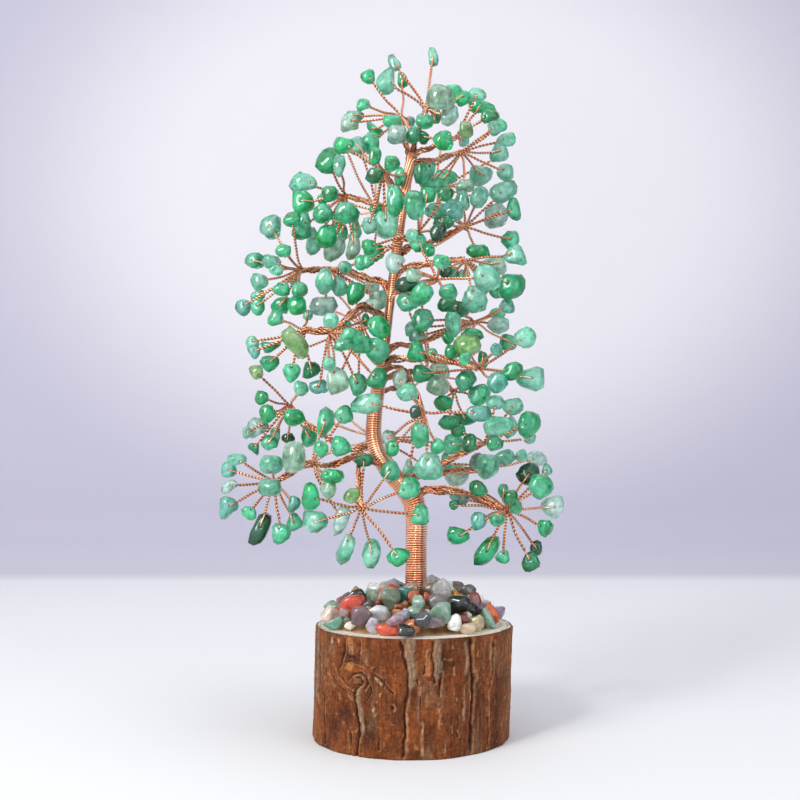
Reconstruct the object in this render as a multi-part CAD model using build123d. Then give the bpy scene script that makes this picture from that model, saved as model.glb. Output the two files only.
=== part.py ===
from build123d import *

import math
import os
from itertools import combinations

import numpy as np

# Gemstone tree: a tree of copper wire that carries green aventurine chips,
# set in a bark-covered slice of a branch that is heaped with mixed gravel stones.
# Millimetres, +Z up, seen from the front along +Y, origin at the middle of the stump's underside.

os.makedirs("parts", exist_ok=True)

# Stump
STUMP_HEIGHT = 41.3
STUMP_RADIUS = 37.3
STUMP_LEAN = 1.2
BARK_THICKNESS = 2.2
BARK_FURROW_DEPTH = 0.9
ROOT_DEPTH = 14.0

# Gravel mound and its glue
MOUND_RADIUS = 30.2
MOUND_RISE = 10.8
GRAVEL_GAP = 0.08
GRAVEL_STEP = 0.3
GRAVEL_SIZES = {"large": 6.2, "small": 4.4, "fine": 3.3}
GRAVEL_RISE_LIMIT = 1.6
GRAVEL_SPREAD = -0.8
GRAVEL_RIM = 0.6

# Tree
TREE_RISE = 216.0
CANOPY_DEPTH = 36.0
TRUNK_FOOT_RADIUS = 4.4
WRAP_WIRE_RADIUS = 0.4
WRAP_CLEARANCE = 0.1
STALK_RADIUS = 0.8
STALK_CLEARANCE = 0.15
STEM_RADIUS = 0.34
STEM_CLEARANCE = 0.06
STEM_STEP = 0.3
STEM_SEAT = 0.5
EYE_WIRE_RADIUS = 0.18
EYE_BEND_RADIUS = 0.5
EYE_REACH = 1.1
EYE_END_SPACING = 0.19
HOLE_CLEARANCE = 0.28
STONE_GAP = 0.12
STONE_LEAST_SIZE = 3.7
DEPTH_STEP = 1.1

# Counts and overrun
WRAP_TURNS = 22
CUT_OVERRUN = 2.0
STONE_CORNERS = 14
CHIP_SQUARENESS = 2.5
DEPTH_TRIES = 33
EYE_LIFTS = 3
EYE_LIFT_TRIES = 12
WRAP_SAMPLES_A_TURN = 24
TRUNK_SAMPLES = 60
GRAVEL_TRIES = {"large": 85, "small": 170, "fine": 300}

# The frame in which the photo's places are read: pixels right and down.
FOCAL_PX = 1055
EYE_PX = (400, 465)
AXIS_PX = 411.5
STUMP_TOP_PX = 623.2
TREE_RISE_PX = 575.2

PIXEL = TREE_RISE / TREE_RISE_PX
VIEW_DISTANCE = FOCAL_PX * PIXEL

# The trunk's line and its half width over the wrap, as (px, py, half width px).
TRUNK_PX = [
    (416, 661, 11.7), (416, 600, 11.7), (416, 545, 11.6), (416, 515, 11.8), (412, 498, 12.0),
    (403, 486, 11.3), (391, 473, 10.0), (380, 458, 9.2), (374, 440, 8.8), (374, 420, 8.5),
    (377, 396, 7.8), (381, 372, 6.6), (384, 350, 5.7), (388, 320, 5.2), (393, 280, 4.9),
    (398, 240, 4.7), (403, 205, 4.4), (408, 175, 4.2), (413, 150, 4.0),
]
# Each winding of the trunk's wrap, from and to these heights in pixels.
WRAPS_PX = {
    "trunk_wrap_foot": (589, 505),
    "trunk_wrap_bend": (478, 384),
    "trunk_wrap_middle": (352, 271),
    "trunk_wrap_top": (252, 172),
}

# Stones of each cluster, as (px, py, width px, height px), with a tilt in degrees where it shows.
CROWN_TIP_PX = [
    (433, 57, 10, 18), (394, 63, 8, 17, -25), (386, 82, 17, 25), (440, 98, 28, 23), (452, 91, 20, 11),
    (462, 98, 16, 15), (450, 116, 17, 20), (424, 122, 18, 15), (436, 117, 10, 13),
]
CROWN_LEFT_PX = [
    (368, 77, 14, 14), (402, 80, 7, 15), (363, 105, 13, 12), (354, 116, 17, 10), (349, 123, 17, 18),
    (374, 130, 20, 8, 35), (393, 122, 18, 14), (397, 135, 18, 19), (371, 143, 16, 20),
    (413, 135, 14, 16), (410, 122, 6, 9),
]
CROWN_RIGHT_FRONT_PX = [
    (477, 95, 17, 12), (480, 107, 28, 14, 10), (489, 116, 18, 13), (466, 131, 13, 18),
    (464, 142, 6, 5), (442, 141, 20, 19), (424, 138, 9, 13),
]
CROWN_RIGHT_BACK_PX = [
    (494, 128, 13, 15), (501, 125, 11, 14), (506, 140, 18, 13), (499, 153, 18, 19), (505, 172, 16, 16),
    (480, 175, 22, 20), (465, 186, 19, 13), (445, 178, 22, 16), (424, 171, 21, 26), (430, 184, 24, 18),
]
UPPER_LEFT_INNER_PX = [
    (343, 145, 20, 15), (357, 147, 18, 17), (375, 157, 12, 17), (375, 176, 18, 15), (391, 164, 15, 16),
    (400, 177, 7, 18), (394, 203, 16, 30), (376, 209, 12, 10), (369, 226, 14, 16), (386, 224, 24, 28),
]
UPPER_LEFT_PX = [
    (328, 162, 24, 25), (339, 166, 12, 22), (303, 183, 27, 18), (303, 203, 21, 25), (330, 194, 17, 15),
    (322, 200, 8, 10), (302, 228, 18, 26), (323, 214, 20, 19), (347, 213, 25, 20), (337, 222, 8, 11),
    (327, 237, 20, 22), (313, 243, 15, 27), (334, 248, 21, 24), (354, 246, 14, 28), (343, 232, 10, 14),
    (356, 228, 8, 20),
]
LEFT_OUTER_PX = [
    (292, 220, 17, 15), (271, 228, 21, 23), (284, 251, 15, 12), (254, 261, 19, 15), (271, 262, 18, 13),
    (276, 270, 14, 11), (259, 282, 17, 17), (257, 296, 14, 12), (243, 307, 15, 16), (258, 306, 13, 18),
    (281, 290, 17, 14), (293, 279, 9, 9), (299, 291, 15, 16), (281, 306, 20, 17), (297, 306, 18, 18),
]
LEFT_INNER_PX = [
    (325, 281, 18, 26), (338, 286, 15, 19), (345, 267, 13, 12), (361, 263, 12, 15), (355, 293, 18, 22),
    (371, 286, 15, 14), (375, 298, 12, 16), (382, 299, 11, 20), (324, 306, 27, 18),
]
MIDDLE_LEFT_PX = [
    (346, 326, 10, 10), (350, 337, 22, 17), (344, 345, 20, 12), (372, 306, 16, 15),
    (379, 327, 24, 22, 35), (366, 321, 7, 13), (362, 345, 22, 16), (377, 351, 24, 26),
    (336, 381, 22, 28), (358, 384, 18, 22), (329, 363, 12, 14), (319, 387, 18, 14), (331, 320, 15, 15),
    (377, 379, 20, 20),
]
MIDDLE_LEFT_OUTER_PX = [
    (275, 318, 15, 17), (252, 342, 13, 11), (254, 352, 12, 13), (270, 347, 20, 10, -15),
    (296, 344, 18, 38, -40), (270, 363, 18, 17), (291, 373, 17, 18), (311, 370, 18, 18), (308, 315, 8, 8),
]
LOW_LEFT_UPPER_PX = [
    (256, 372, 14, 14), (262, 398, 13, 14), (267, 414, 16, 18), (257, 428, 22, 20), (247, 433, 10, 12),
    (269, 443, 17, 15), (254, 448, 11, 12), (293, 418, 20, 17), (275, 434, 10, 14), (288, 438, 13, 10),
    (301, 389, 14, 15), (309, 436, 16, 22),
]
LOW_LEFT_INNER_PX = [
    (294, 458, 22, 30), (325, 422, 17, 30), (344, 415, 18, 18), (341, 447, 20, 20), (321, 449, 14, 16),
    (333, 477, 22, 14), (328, 489, 16, 18), (341, 519, 14, 30, 20),
]
LOW_LEFT_OUTER_PX = [
    (237, 459, 19, 11), (229, 470, 15, 16), (229, 486, 17, 12, -25), (228, 507, 18, 22),
    (249, 513, 15, 13), (260, 529, 15, 34, 30), (270, 464, 23, 18), (270, 488, 22, 17),
    (281, 533, 18, 20), (294, 522, 18, 18), (294, 504, 12, 17),
]
LOW_MIDDLE_PX = [
    (310, 497, 18, 27), (315, 522, 24, 22), (352, 496, 16, 15), (390, 471, 20, 20), (409, 488, 21, 22),
    (420, 515, 18, 20), (398, 556, 22, 18), (372, 553, 18, 28), (345, 549, 17, 30, 15),
    (364, 461, 19, 12),
]
LOW_RIGHT_PX = [
    (540, 488, 24, 24), (553, 507, 22, 22), (545, 528, 15, 17), (528, 474, 22, 22), (547, 470, 10, 12),
    (458, 536, 22, 17), (478, 521, 15, 18), (486, 551, 18, 34, 35), (503, 557, 14, 14),
    (536, 548, 11, 15), (530, 562, 18, 20), (460, 498, 20, 15), (454, 505, 9, 9), (510, 497, 14, 14),
    (497, 520, 14, 12), (516, 507, 12, 14), (478, 489, 18, 16), (503, 491, 10, 14),
]
RIGHT_LOW_PX = [
    (498, 426, 28, 20), (511, 428, 14, 22), (528, 424, 22, 26), (529, 439, 12, 9), (494, 444, 16, 14),
    (469, 444, 14, 18), (496, 403, 20, 14), (512, 407, 22, 16), (458, 431, 14, 12), (453, 444, 20, 20),
]
RIGHT_LOW_BACK_PX = [
    (488, 467, 22, 24), (505, 458, 20, 16), (521, 456, 12, 12), (535, 459, 20, 14), (477, 463, 16, 17),
    (456, 475, 24, 22), (446, 463, 10, 18),
]
MIDDLE_RIGHT_LOW_PX = [
    (415, 412, 11, 13), (400, 381, 14, 22), (407, 392, 20, 18), (420, 436, 17, 25), (437, 446, 14, 16),
    (408, 467, 10, 15), (428, 467, 28, 26), (389, 438, 13, 16), (392, 449, 12, 16),
    (368, 404, 30, 20, -10), (478, 413, 24, 15),
]
MIDDLE_RIGHT_LOW_BACK_PX = [
    (466, 380, 20, 22), (439, 371, 20, 20), (438, 386, 22, 20), (443, 403, 18, 16), (449, 423, 20, 14),
    (464, 419, 24, 14), (479, 396, 22, 22),
]
MIDDLE_RIGHT_PX = [
    (512, 372, 22, 18), (531, 379, 26, 24), (525, 338, 21, 20, -30), (496, 350, 12, 13),
    (497, 383, 20, 20), (483, 361, 10, 17), (465, 359, 11, 13), (423, 374, 20, 18), (416, 352, 17, 20),
    (451, 352, 14, 14), (467, 346, 26, 22), (432, 353, 11, 9),
]
RIGHT_UPPER_PX = [
    (507, 306, 15, 14), (497, 313, 16, 10), (498, 326, 21, 17), (508, 342, 17, 16), (453, 324, 16, 25),
    (473, 335, 22, 13), (447, 304, 20, 16), (459, 310, 20, 17), (422, 320, 21, 24),
    (411, 328, 10, 15, 40), (417, 337, 16, 13), (448, 338, 12, 12),
]
UPPER_RIGHT_PX = [
    (394, 263, 18, 20, 40), (407, 303, 21, 18), (421, 294, 26, 22, -30), (448, 292, 18, 16),
    (486, 278, 27, 25), (413, 275, 15, 13), (406, 285, 22, 16), (418, 243, 16, 17), (441, 262, 16, 14),
]
RIGHT_PX = [
    (515, 255, 22, 20), (495, 265, 26, 18), (511, 286, 26, 25), (497, 290, 18, 15), (483, 289, 9, 13),
    (464, 275, 12, 9), (445, 271, 14, 16), (454, 273, 9, 12), (474, 300, 24, 26),
]
UPPER_RIGHT_TOP_PX = [
    (503, 192, 27, 19, -20), (496, 215, 24, 26, 30), (513, 210, 14, 22), (510, 240, 17, 20),
    (477, 251, 23, 13), (462, 201, 14, 21), (479, 197, 18, 20), (453, 212, 20, 22), (437, 211, 22, 16),
    (444, 223, 20, 14), (429, 250, 11, 13),
]
UPPER_MIDDLE_PX = [
    (414, 204, 20, 28), (427, 196, 16, 15), (445, 194, 16, 15), (438, 232, 16, 17), (369, 247, 14, 14),
    (374, 252, 20, 18), (368, 262, 11, 13), (412, 236, 12, 14),
]
BACK_UPPER_LEFT_PX = [
    (345, 148, 14, 12), (361, 149, 13, 13), (376, 177, 14, 12), (346, 213, 16, 14), (370, 227, 12, 13),
    (388, 224, 17, 20), (394, 203, 13, 20), (373, 252, 15, 14), (335, 247, 16, 17), (330, 195, 14, 12),
]
BACK_UPPER_RIGHT_PX = [
    (424, 172, 16, 18), (431, 185, 17, 15), (449, 178, 16, 13), (481, 176, 18, 15), (500, 156, 14, 14),
    (442, 141, 15, 14), (453, 211, 15, 15), (437, 212, 16, 12), (479, 198, 13, 14), (414, 205, 14, 18),
    (466, 187, 14, 11),
]
BACK_LOWER_LEFT_PX = [
    (325, 307, 19, 13), (326, 282, 13, 18), (355, 293, 13, 16), (379, 328, 16, 15), (351, 338, 16, 13),
    (377, 352, 17, 18), (358, 384, 14, 16), (337, 381, 17, 19), (363, 346, 15, 12), (301, 350, 14, 16),
]
BACK_LOWER_RIGHT_PX = [
    (421, 295, 18, 16), (407, 304, 15, 14), (422, 321, 16, 17), (416, 353, 13, 15), (467, 347, 18, 15),
    (440, 372, 15, 15), (438, 387, 16, 14), (466, 381, 15, 16), (423, 375, 13, 13), (407, 393, 15, 13),
    (444, 404, 14, 12),
]
BACK_FOOT_PX = [
    (368, 405, 20, 14), (378, 380, 15, 15), (390, 444, 11, 18), (343, 447, 14, 14), (344, 415, 14, 14),
    (420, 437, 13, 18), (436, 447, 12, 13), (410, 488, 16, 16), (390, 471, 15, 15), (428, 467, 20, 18),
    (453, 444, 15, 15), (326, 421, 13, 20),
]

# Each branch is a list of limbs. A limb leaves the trunk at a height in pixels, or at its top end
# where that is None, then runs through (px, py, share of the canopy's depth), and names its stones
# by the point of the run that they radiate from. The last value is its thickness as a share.
BRANCHES = {
    "crown_tip": [(None, [(419, 130, -0.06), (426, 108, -0.15)], {1: CROWN_TIP_PX}, 0.9)],
    "crown_left": [(161, [(404, 137, 0.1), (402, 117, 0.25)], {1: CROWN_LEFT_PX}, 0.9)],
    "crown_right": [
        (158, [(438, 145, -0.2), (457, 137, -0.35)], {1: CROWN_RIGHT_FRONT_PX}, 0.8),
        (167, [(438, 159, 0.22), (461, 152, 0.4)], {1: CROWN_RIGHT_BACK_PX}, 0.9),
    ],
    "upper_left_inner": [(199, [(392, 184, -0.25), (384, 172, -0.45)], {1: UPPER_LEFT_INNER_PX}, 0.9)],
    "upper_left": [(217, [(374, 204, 0.1), (345, 196, 0.15)], {1: UPPER_LEFT_PX}, 1.1)],
    "left": [
        (289, [(362, 277, 0.15), (331, 269, 0.35), (301, 270, 0.2)],
         {1: LEFT_INNER_PX, 2: LEFT_OUTER_PX}, 1.3),
    ],
    "middle_left": [
        (328, [(364, 307, -0.25), (330, 331, -0.45), (303, 330, -0.4)],
         {1: MIDDLE_LEFT_PX, 2: MIDDLE_LEFT_OUTER_PX}, 1.5),
    ],
    "low_left_upper": [
        (446, [(353, 450, 0.1), (328, 438, 0.22), (305, 421, 0.3), (290, 406, 0.35)],
         {3: LOW_LEFT_UPPER_PX}, 1.1),
    ],
    "low_left": [
        (457, [(352, 458, -0.2), (332, 465, -0.32), (312, 464, -0.42), (275, 482, -0.2)],
         {2: LOW_LEFT_INNER_PX, 3: LOW_LEFT_OUTER_PX}, 1.3),
    ],
    "low_middle": [
        (468, [(360, 463, -0.45), (359, 486, -0.65), (361, 508, -0.75)], {2: LOW_MIDDLE_PX}, 0.8),
    ],
    "low_right": [
        (494, [(452, 491, -0.12), (480, 499, -0.25), (506, 509, -0.35)], {2: LOW_RIGHT_PX}, 1.5),
    ],
    "right_low": [
        (480, [(443, 464, -0.1), (463, 452, -0.16), (485, 443, -0.2)], {2: RIGHT_LOW_PX}, 1.4),
        (486, [(446, 472, 0.3), (490, 468, 0.6)], {1: RIGHT_LOW_BACK_PX}, 1.1),
    ],
    "middle_right_low": [
        (372, [(402, 369, -0.32), (414, 388, -0.6), (424, 413, -0.7)], {2: MIDDLE_RIGHT_LOW_PX}, 0.9),
        (382, [(412, 372, 0.15), (434, 380, 0.25), (454, 391, 0.3)], {2: MIDDLE_RIGHT_LOW_BACK_PX}, 0.9),
    ],
    "middle_right": [
        (362, [(410, 358, -0.1), (445, 361, -0.2), (478, 368, -0.25)], {2: MIDDLE_RIGHT_PX}, 1.2),
    ],
    "right_upper": [
        (352, [(415, 344, 0.15), (449, 332, 0.35), (474, 322, 0.45)], {2: RIGHT_UPPER_PX}, 1.0),
    ],
    "right": [(276, [(425, 264, -0.05), (465, 260, -0.1)], {1: RIGHT_PX}, 1.2)],
    "upper_right_top": [(256, [(430, 242, 0.15), (465, 227, 0.3)], {1: UPPER_RIGHT_TOP_PX}, 1.1)],
    "upper_right": [(298, [(412, 290, -0.35), (437, 279, -0.7)], {1: UPPER_RIGHT_PX}, 0.9)],
    "upper_middle": [(242, [(409, 238, -0.25), (419, 232, -0.5)], {1: UPPER_MIDDLE_PX}, 0.9)],
    "back_upper": [
        (228, [(392, 221, 0.4), (378, 212, 0.75)], {1: BACK_UPPER_LEFT_PX}, 1.0),
        (206, [(420, 198, 0.4), (438, 190, 0.75)], {1: BACK_UPPER_RIGHT_PX}, 1.0),
    ],
    "back_lower": [
        (332, [(379, 329, 0.4), (362, 325, 0.75)], {1: BACK_LOWER_LEFT_PX}, 1.0),
        (398, [(396, 388, 0.4), (428, 372, 0.75)], {1: BACK_LOWER_RIGHT_PX}, 1.0),
        (452, [(375, 446, 0.4), (375, 438, 0.75)], {1: BACK_FOOT_PX}, 1.0),
    ],
}

# Gravel that shows, by mineral, as (px, py, width px, height px), with a tilt where it shows.
GRAVEL_PX = {
    "gravel_jasper": [
        (353, 605, 26, 14, -25), (388, 630, 22, 9), (411, 630, 20, 14), (397, 613, 10, 9),
        (407, 607, 12, 10), (435, 578, 14, 9), (492, 616, 9, 20, -25), (426, 599, 11, 10), (391, 592, 18, 12),
    ],
    "gravel_aventurine": [
        (333, 622, 18, 9, -20), (374, 597, 16, 13), (390, 600, 16, 19), (404, 594, 12, 15),
        (418, 605, 11, 15), (440, 619, 18, 17), (488, 619, 8, 20, -30), (415, 612, 14, 9),
    ],
    "gravel_amethyst": [
        (360, 616, 17, 16), (394, 620, 14, 10), (374, 623, 12, 14), (497, 612, 14, 12), (478, 604, 13, 11),
        (433, 633, 22, 10), (403, 614, 11, 11), (345, 616, 11, 13),
    ],
    "gravel_quartz": [
        (378, 613, 22, 12), (453, 630, 11, 14), (446, 591, 18, 11, 20), (467, 600, 12, 9), (447, 581, 11, 9),
        (350, 626, 11, 7), (338, 597, 8, 8),
    ],
    "gravel_citrine": [
        (455, 599, 14, 15), (477, 621, 14, 13), (467, 629, 15, 9), (412, 591, 13, 15), (428, 590, 14, 14),
    ],
    "gravel_obsidian": [
        (407, 623, 18, 14), (423, 619, 12, 15, 30), (458, 617, 20, 16), (470, 609, 14, 13),
        (444, 609, 10, 10), (368, 606, 14, 10),
    ],
    "gravel_agate": [
        (366, 591, 20, 11), (395, 584, 20, 12), (438, 602, 18, 13), (467, 592, 15, 9), (386, 586, 12, 10),
    ],
}
# Gravel lower in the photo than this stands on the rim and is laid first.
FRONT_ROW_PX = 626
FILL_GRAVEL = [
    "gravel_quartz", "gravel_aventurine", "gravel_agate", "gravel_jasper", "gravel_amethyst",
    "gravel_obsidian", "gravel_aventurine", "gravel_agate", "gravel_quartz", "gravel_jasper",
    "gravel_citrine",
]

# Bark: where the furrows that show stand, then those round the back, in degrees from the front.
FURROW_PX = [322, 344, 357, 403, 437, 472, 491]
BACK_FURROWS_DEG = [72, 88, 107, 131, 148, 163, 190, 204, 228, 247, 262, 286]
FURROW_HALF_WIDTH_DEG = 1.8
BARK_STEP_DEG = 6.0
BARK_WAVES_SHARE = [(2, 0.010, 20.0), (3, 0.008, 75.0), (5, 0.004, 10.0)]
TRUNK_SPACING_SHARE = 0.8
HUB_KNOT_SHARE = 1.15
LIMB_BEND_SHARE = 4

# A chip's shape, and how its wire's eye lies, as shares of its own sizes.
CORNER_SHIFT_SHARE = 0.16
CHIP_STRETCH_SHARE = 0.3
LEAST_CORNER_SHARE = 0.9
HOLE_PLACE_SHARE = 0.38
EYE_SHOULDER_SHARE = 0.72
EYE_SHOULDER_RISE_SHARE = 0.62
STONE_THICKNESS_SHARES = (0.68, 0.12)
STONE_SWING_SHARE = 0.8
OUTER_STONE_SHARE = 0.55
STEM_START_SHARE = 0.6
GRAVEL_THICKNESS_SHARE = 0.8
GRAVEL_OVERLAP_SHARE = 1.1
GRAVEL_LIFT_SHARE = 0.35
SMALLER_SHARES = (1.0, 0.85, 0.72, 0.6)
HIDDEN_STONE_PX = 11


def place(px, py, depth):
    """The point that shows at a pixel, at a depth behind the trunk's plane."""
    reach = (VIEW_DISTANCE + depth) / FOCAL_PX
    side = (px - EYE_PX[0]) * reach - (AXIS_PX - EYE_PX[0]) * PIXEL
    rise = (EYE_PX[1] - py) * reach + (STUMP_TOP_PX - EYE_PX[1]) * PIXEL
    return np.array([side, depth, STUMP_HEIGHT + rise])


def unit(vector):
    return vector / np.linalg.norm(vector)


def smooth_table(rows):
    """Height, side and radius of the trunk, from its pixel rows, lowest first."""
    points = [place(px, py, 0) for px, py, _ in rows]
    return np.array([(point[2], point[0], half * PIXEL) for point, (_, _, half) in zip(points, rows)])


TRUNK_TABLE = smooth_table(TRUNK_PX)
TRUNK_TOP = TRUNK_TABLE[-1, 0]


def hermite(height, column):
    """A smooth curve through one column of the trunk's table."""
    heights, values = TRUNK_TABLE[:, 0], TRUNK_TABLE[:, column]
    slopes = np.gradient(values, heights)
    i = int(np.clip(np.searchsorted(heights, height) - 1, 0, len(heights) - 2))
    span = heights[i + 1] - heights[i]
    t = (height - heights[i]) / span
    return ((2 * t**3 - 3 * t**2 + 1) * values[i] + (t**3 - 2 * t**2 + t) * span * slopes[i]
            + (3 * t**2 - 2 * t**3) * values[i + 1] + (t**3 - t**2) * span * slopes[i + 1])


def trunk_at(height):
    """The trunk's middle, its direction and its radius over the wrap, at a height."""
    reach = 0.01 * TRUNK_FOOT_RADIUS
    middle = np.array([hermite(height, 1), 0.0, height])
    slope = (hermite(height + reach, 1) - hermite(height - reach, 1)) / (2 * reach)
    return middle, unit(np.array([slope, 0.0, 1.0])), hermite(height, 2)


def core_radius(height):
    return trunk_at(height)[2] - 2 * WRAP_WIRE_RADIUS - WRAP_CLEARANCE


def corner_radii(points, least):
    """One fillet radius for each corner, as large as its two runs allow, up to a limit."""
    radii = []
    for before, corner, after in zip(points, points[1:], points[2:]):
        first, second = corner - before, after - corner
        cosine = np.dot(unit(first), unit(second))
        half_turn = math.acos(float(np.clip(cosine, -1, 1))) / 2
        run = min(np.linalg.norm(first), np.linalg.norm(second))
        radii.append(min(0.45 * run / math.tan(half_turn), least))
    return radii


def tube(points, radius, bend):
    """A round tube along straight runs joined by tangent arcs."""
    path = FilletPolyline(*[Vector(*p) for p in points], radius=corner_radii(points, bend))
    start = Plane(origin=Vector(*points[0]), z_dir=Vector(*(points[1] - points[0])))
    return sweep(start * Circle(radius), path=path)


# Polyhedra


def hull(points):
    """The triangles of a convex hull, each wound outwards, and their planes."""
    triples = np.array(list(combinations(range(len(points)), 3)))
    a, b, c = points[triples[:, 0]], points[triples[:, 1]], points[triples[:, 2]]
    normals = np.cross(b - a, c - a)
    normals /= np.linalg.norm(normals, axis=1)[:, None]
    offsets = np.sum(normals * a, axis=1)
    heights = points @ normals.T - offsets
    slack = 1e-9 * np.abs(points).max()
    outward = heights.max(axis=0) < slack
    inward = heights.min(axis=0) > -slack
    flipped = triples[inward][:, [0, 2, 1]]
    triangles = np.vstack([triples[outward], flipped])
    planes = np.vstack([normals[outward], -normals[inward]])
    return triangles, planes, np.concatenate([offsets[outward], -offsets[inward]])


def chip(random, width, height, thickness, tilt_deg):
    """Corners of one tumbled chip about its middle, of the given sizes across, up and through."""
    index = np.arange(STONE_CORNERS) + 0.5
    turn = math.pi * (1 + math.sqrt(5)) * index
    lift = 1 - 2 * index / STONE_CORNERS
    ring = np.sqrt(1 - lift**2)
    points = np.stack([ring * np.cos(turn), lift, ring * np.sin(turn)], axis=1)
    points += random.uniform(-CORNER_SHIFT_SHARE, CORNER_SHIFT_SHARE, points.shape)
    spin = random.uniform(0, math.pi)
    across = np.array([math.cos(spin), 0, math.sin(spin)])
    points += CHIP_STRETCH_SHARE * (points @ across)[:, None] * across
    points /= (np.abs(points) ** CHIP_SQUARENESS).sum(axis=1)[:, None] ** (1 / CHIP_SQUARENESS)
    points *= random.uniform(LEAST_CORNER_SHARE, 1, (STONE_CORNERS, 1))
    points -= (points.max(axis=0) + points.min(axis=0)) / 2
    points *= np.array([width, thickness, height]) / (points.max(axis=0) - points.min(axis=0))
    tilt = math.radians(tilt_deg)
    cosine, sine = math.cos(tilt), math.sin(tilt)
    return points @ np.array([[cosine, 0, sine], [0, 1, 0], [-sine, 0, cosine]]).T


def polyhedron(points, triangles):
    faces = [Face(Wire.make_polygon([Vector(*points[i]) for i in triangle])) for triangle in triangles]
    return Solid(Shell(faces))


# What is already in place: stones as planes and corners, wires as thick segments.


class Placed:
    """Everything placed so far, and the tests of a new piece against it."""

    def __init__(self):
        self.normals, self.offsets, self.corners, self.middles, self.reaches = [], [], [], [], []
        self.starts, self.ends, self.radii = [], [], []

    def add_stone(self, middle, corners, normals, offsets):
        self.normals.append(normals)
        self.offsets.append(offsets)
        self.corners.append(corners)
        self.middles.append(middle)
        self.reaches.append(np.linalg.norm(corners - middle, axis=1).max())

    def add_wire(self, points, radius):
        for start, end in zip(points, points[1:]):
            self.starts.append(start)
            self.ends.append(end)
            self.radii.append(radius)

    def stones_near(self, middle, reach):
        if not self.middles:
            return []
        away = np.linalg.norm(np.array(self.middles) - middle, axis=1)
        return np.flatnonzero(away < np.array(self.reaches) + reach)

    def wires_near(self, middle, reach):
        """Which wires come within a reach of a point."""
        if not self.starts:
            return np.zeros(0, bool)
        away = point_to_segments(middle, np.array(self.starts), np.array(self.ends))
        return away < np.array(self.radii) + reach

    def stone_is_clear(self, middle, corners, normals, offsets, gap):
        """Whether a stone stands clear of the placed stones and wires."""
        reach = np.linalg.norm(corners - middle, axis=1).max() + gap
        for i in self.stones_near(middle, reach):
            other = self.corners[i]
            mine = ((other @ normals.T).min(axis=0) - offsets).max()
            theirs = ((corners @ self.normals[i].T).min(axis=0) - self.offsets[i]).max()
            if max(mine, theirs) < gap:
                return False
        near = self.wires_near(middle, reach)
        if not near.any():
            return True
        starts, ends = np.array(self.starts)[near], np.array(self.ends)[near]
        return not segments_enter(starts, ends, np.array(self.radii)[near] + gap, normals, offsets).any()

    def wires_are_clear(self, points, radius, gap):
        """Whether a run of wire stands clear of the placed stones and wires."""
        starts, ends = np.array(points[:-1]), np.array(points[1:])
        middle = (np.min(points, axis=0) + np.max(points, axis=0)) / 2
        reach = np.linalg.norm(np.array(points) - middle, axis=1).max() + radius + gap
        for i in self.stones_near(middle, reach):
            room = np.full(len(starts), radius + gap)
            if segments_enter(starts, ends, room, self.normals[i], self.offsets[i]).any():
                return False
        near = self.wires_near(middle, reach)
        if not near.any():
            return True
        other_starts, other_ends = np.array(self.starts)[near], np.array(self.ends)[near]
        room = np.array(self.radii)[near] + radius + gap
        for start, end in zip(starts, ends):
            if (segment_gaps(start, end, other_starts, other_ends) < room).any():
                return False
        return True


def point_to_segments(point, starts, ends):
    along = ends - starts
    length2 = np.maximum((along**2).sum(axis=1), 1e-18 * VIEW_DISTANCE**2)
    t = np.clip(((point - starts) * along).sum(axis=1) / length2, 0, 1)
    return np.linalg.norm(starts + t[:, None] * along - point, axis=1)


def segment_gaps(start, end, starts, ends):
    """The distance from one segment to each of many."""
    d1, d2, r = end - start, ends - starts, start - starts
    a = max(float(d1 @ d1), 1e-18 * VIEW_DISTANCE**2)
    e = np.maximum((d2**2).sum(axis=1), 1e-18 * VIEW_DISTANCE**2)
    f, c, b = (d2 * r).sum(axis=1), r @ d1, d2 @ d1
    denominator = a * e - b * b
    s = np.where(denominator > 1e-12 * a * e, (b * f - c * e) / np.maximum(denominator, 1e-30 * a * e), 0)
    s = np.clip(s, 0, 1)
    t = np.clip((b * s + f) / e, 0, 1)
    s = np.clip((b * t - c) / a, 0, 1)
    mine = start + s[:, None] * d1
    theirs = starts + t[:, None] * d2
    return np.linalg.norm(mine - theirs, axis=1)


def segments_enter(starts, ends, room, normals, offsets):
    """Which segments come nearer than their room to a convex stone."""
    height0 = starts @ normals.T - offsets - room[:, None]
    height1 = ends @ normals.T - offsets - room[:, None]
    change = height1 - height0
    safe = np.where(np.abs(change) < 1e-15 * VIEW_DISTANCE, 1e-15 * VIEW_DISTANCE, change)
    crossing = -height0 / safe
    enter = np.where(change < 0, crossing, np.where(height0 > 0, 2.0, -1.0))
    leave = np.where(change > 0, crossing, np.where(height0 > 0, -1.0, 2.0))
    enter = np.where(change > 0, -1.0, enter)
    leave = np.where(change < 0, 2.0, leave)
    return np.maximum(enter.max(axis=1), 0) < np.minimum(leave.min(axis=1), 1)


# One stone on its wire


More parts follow.
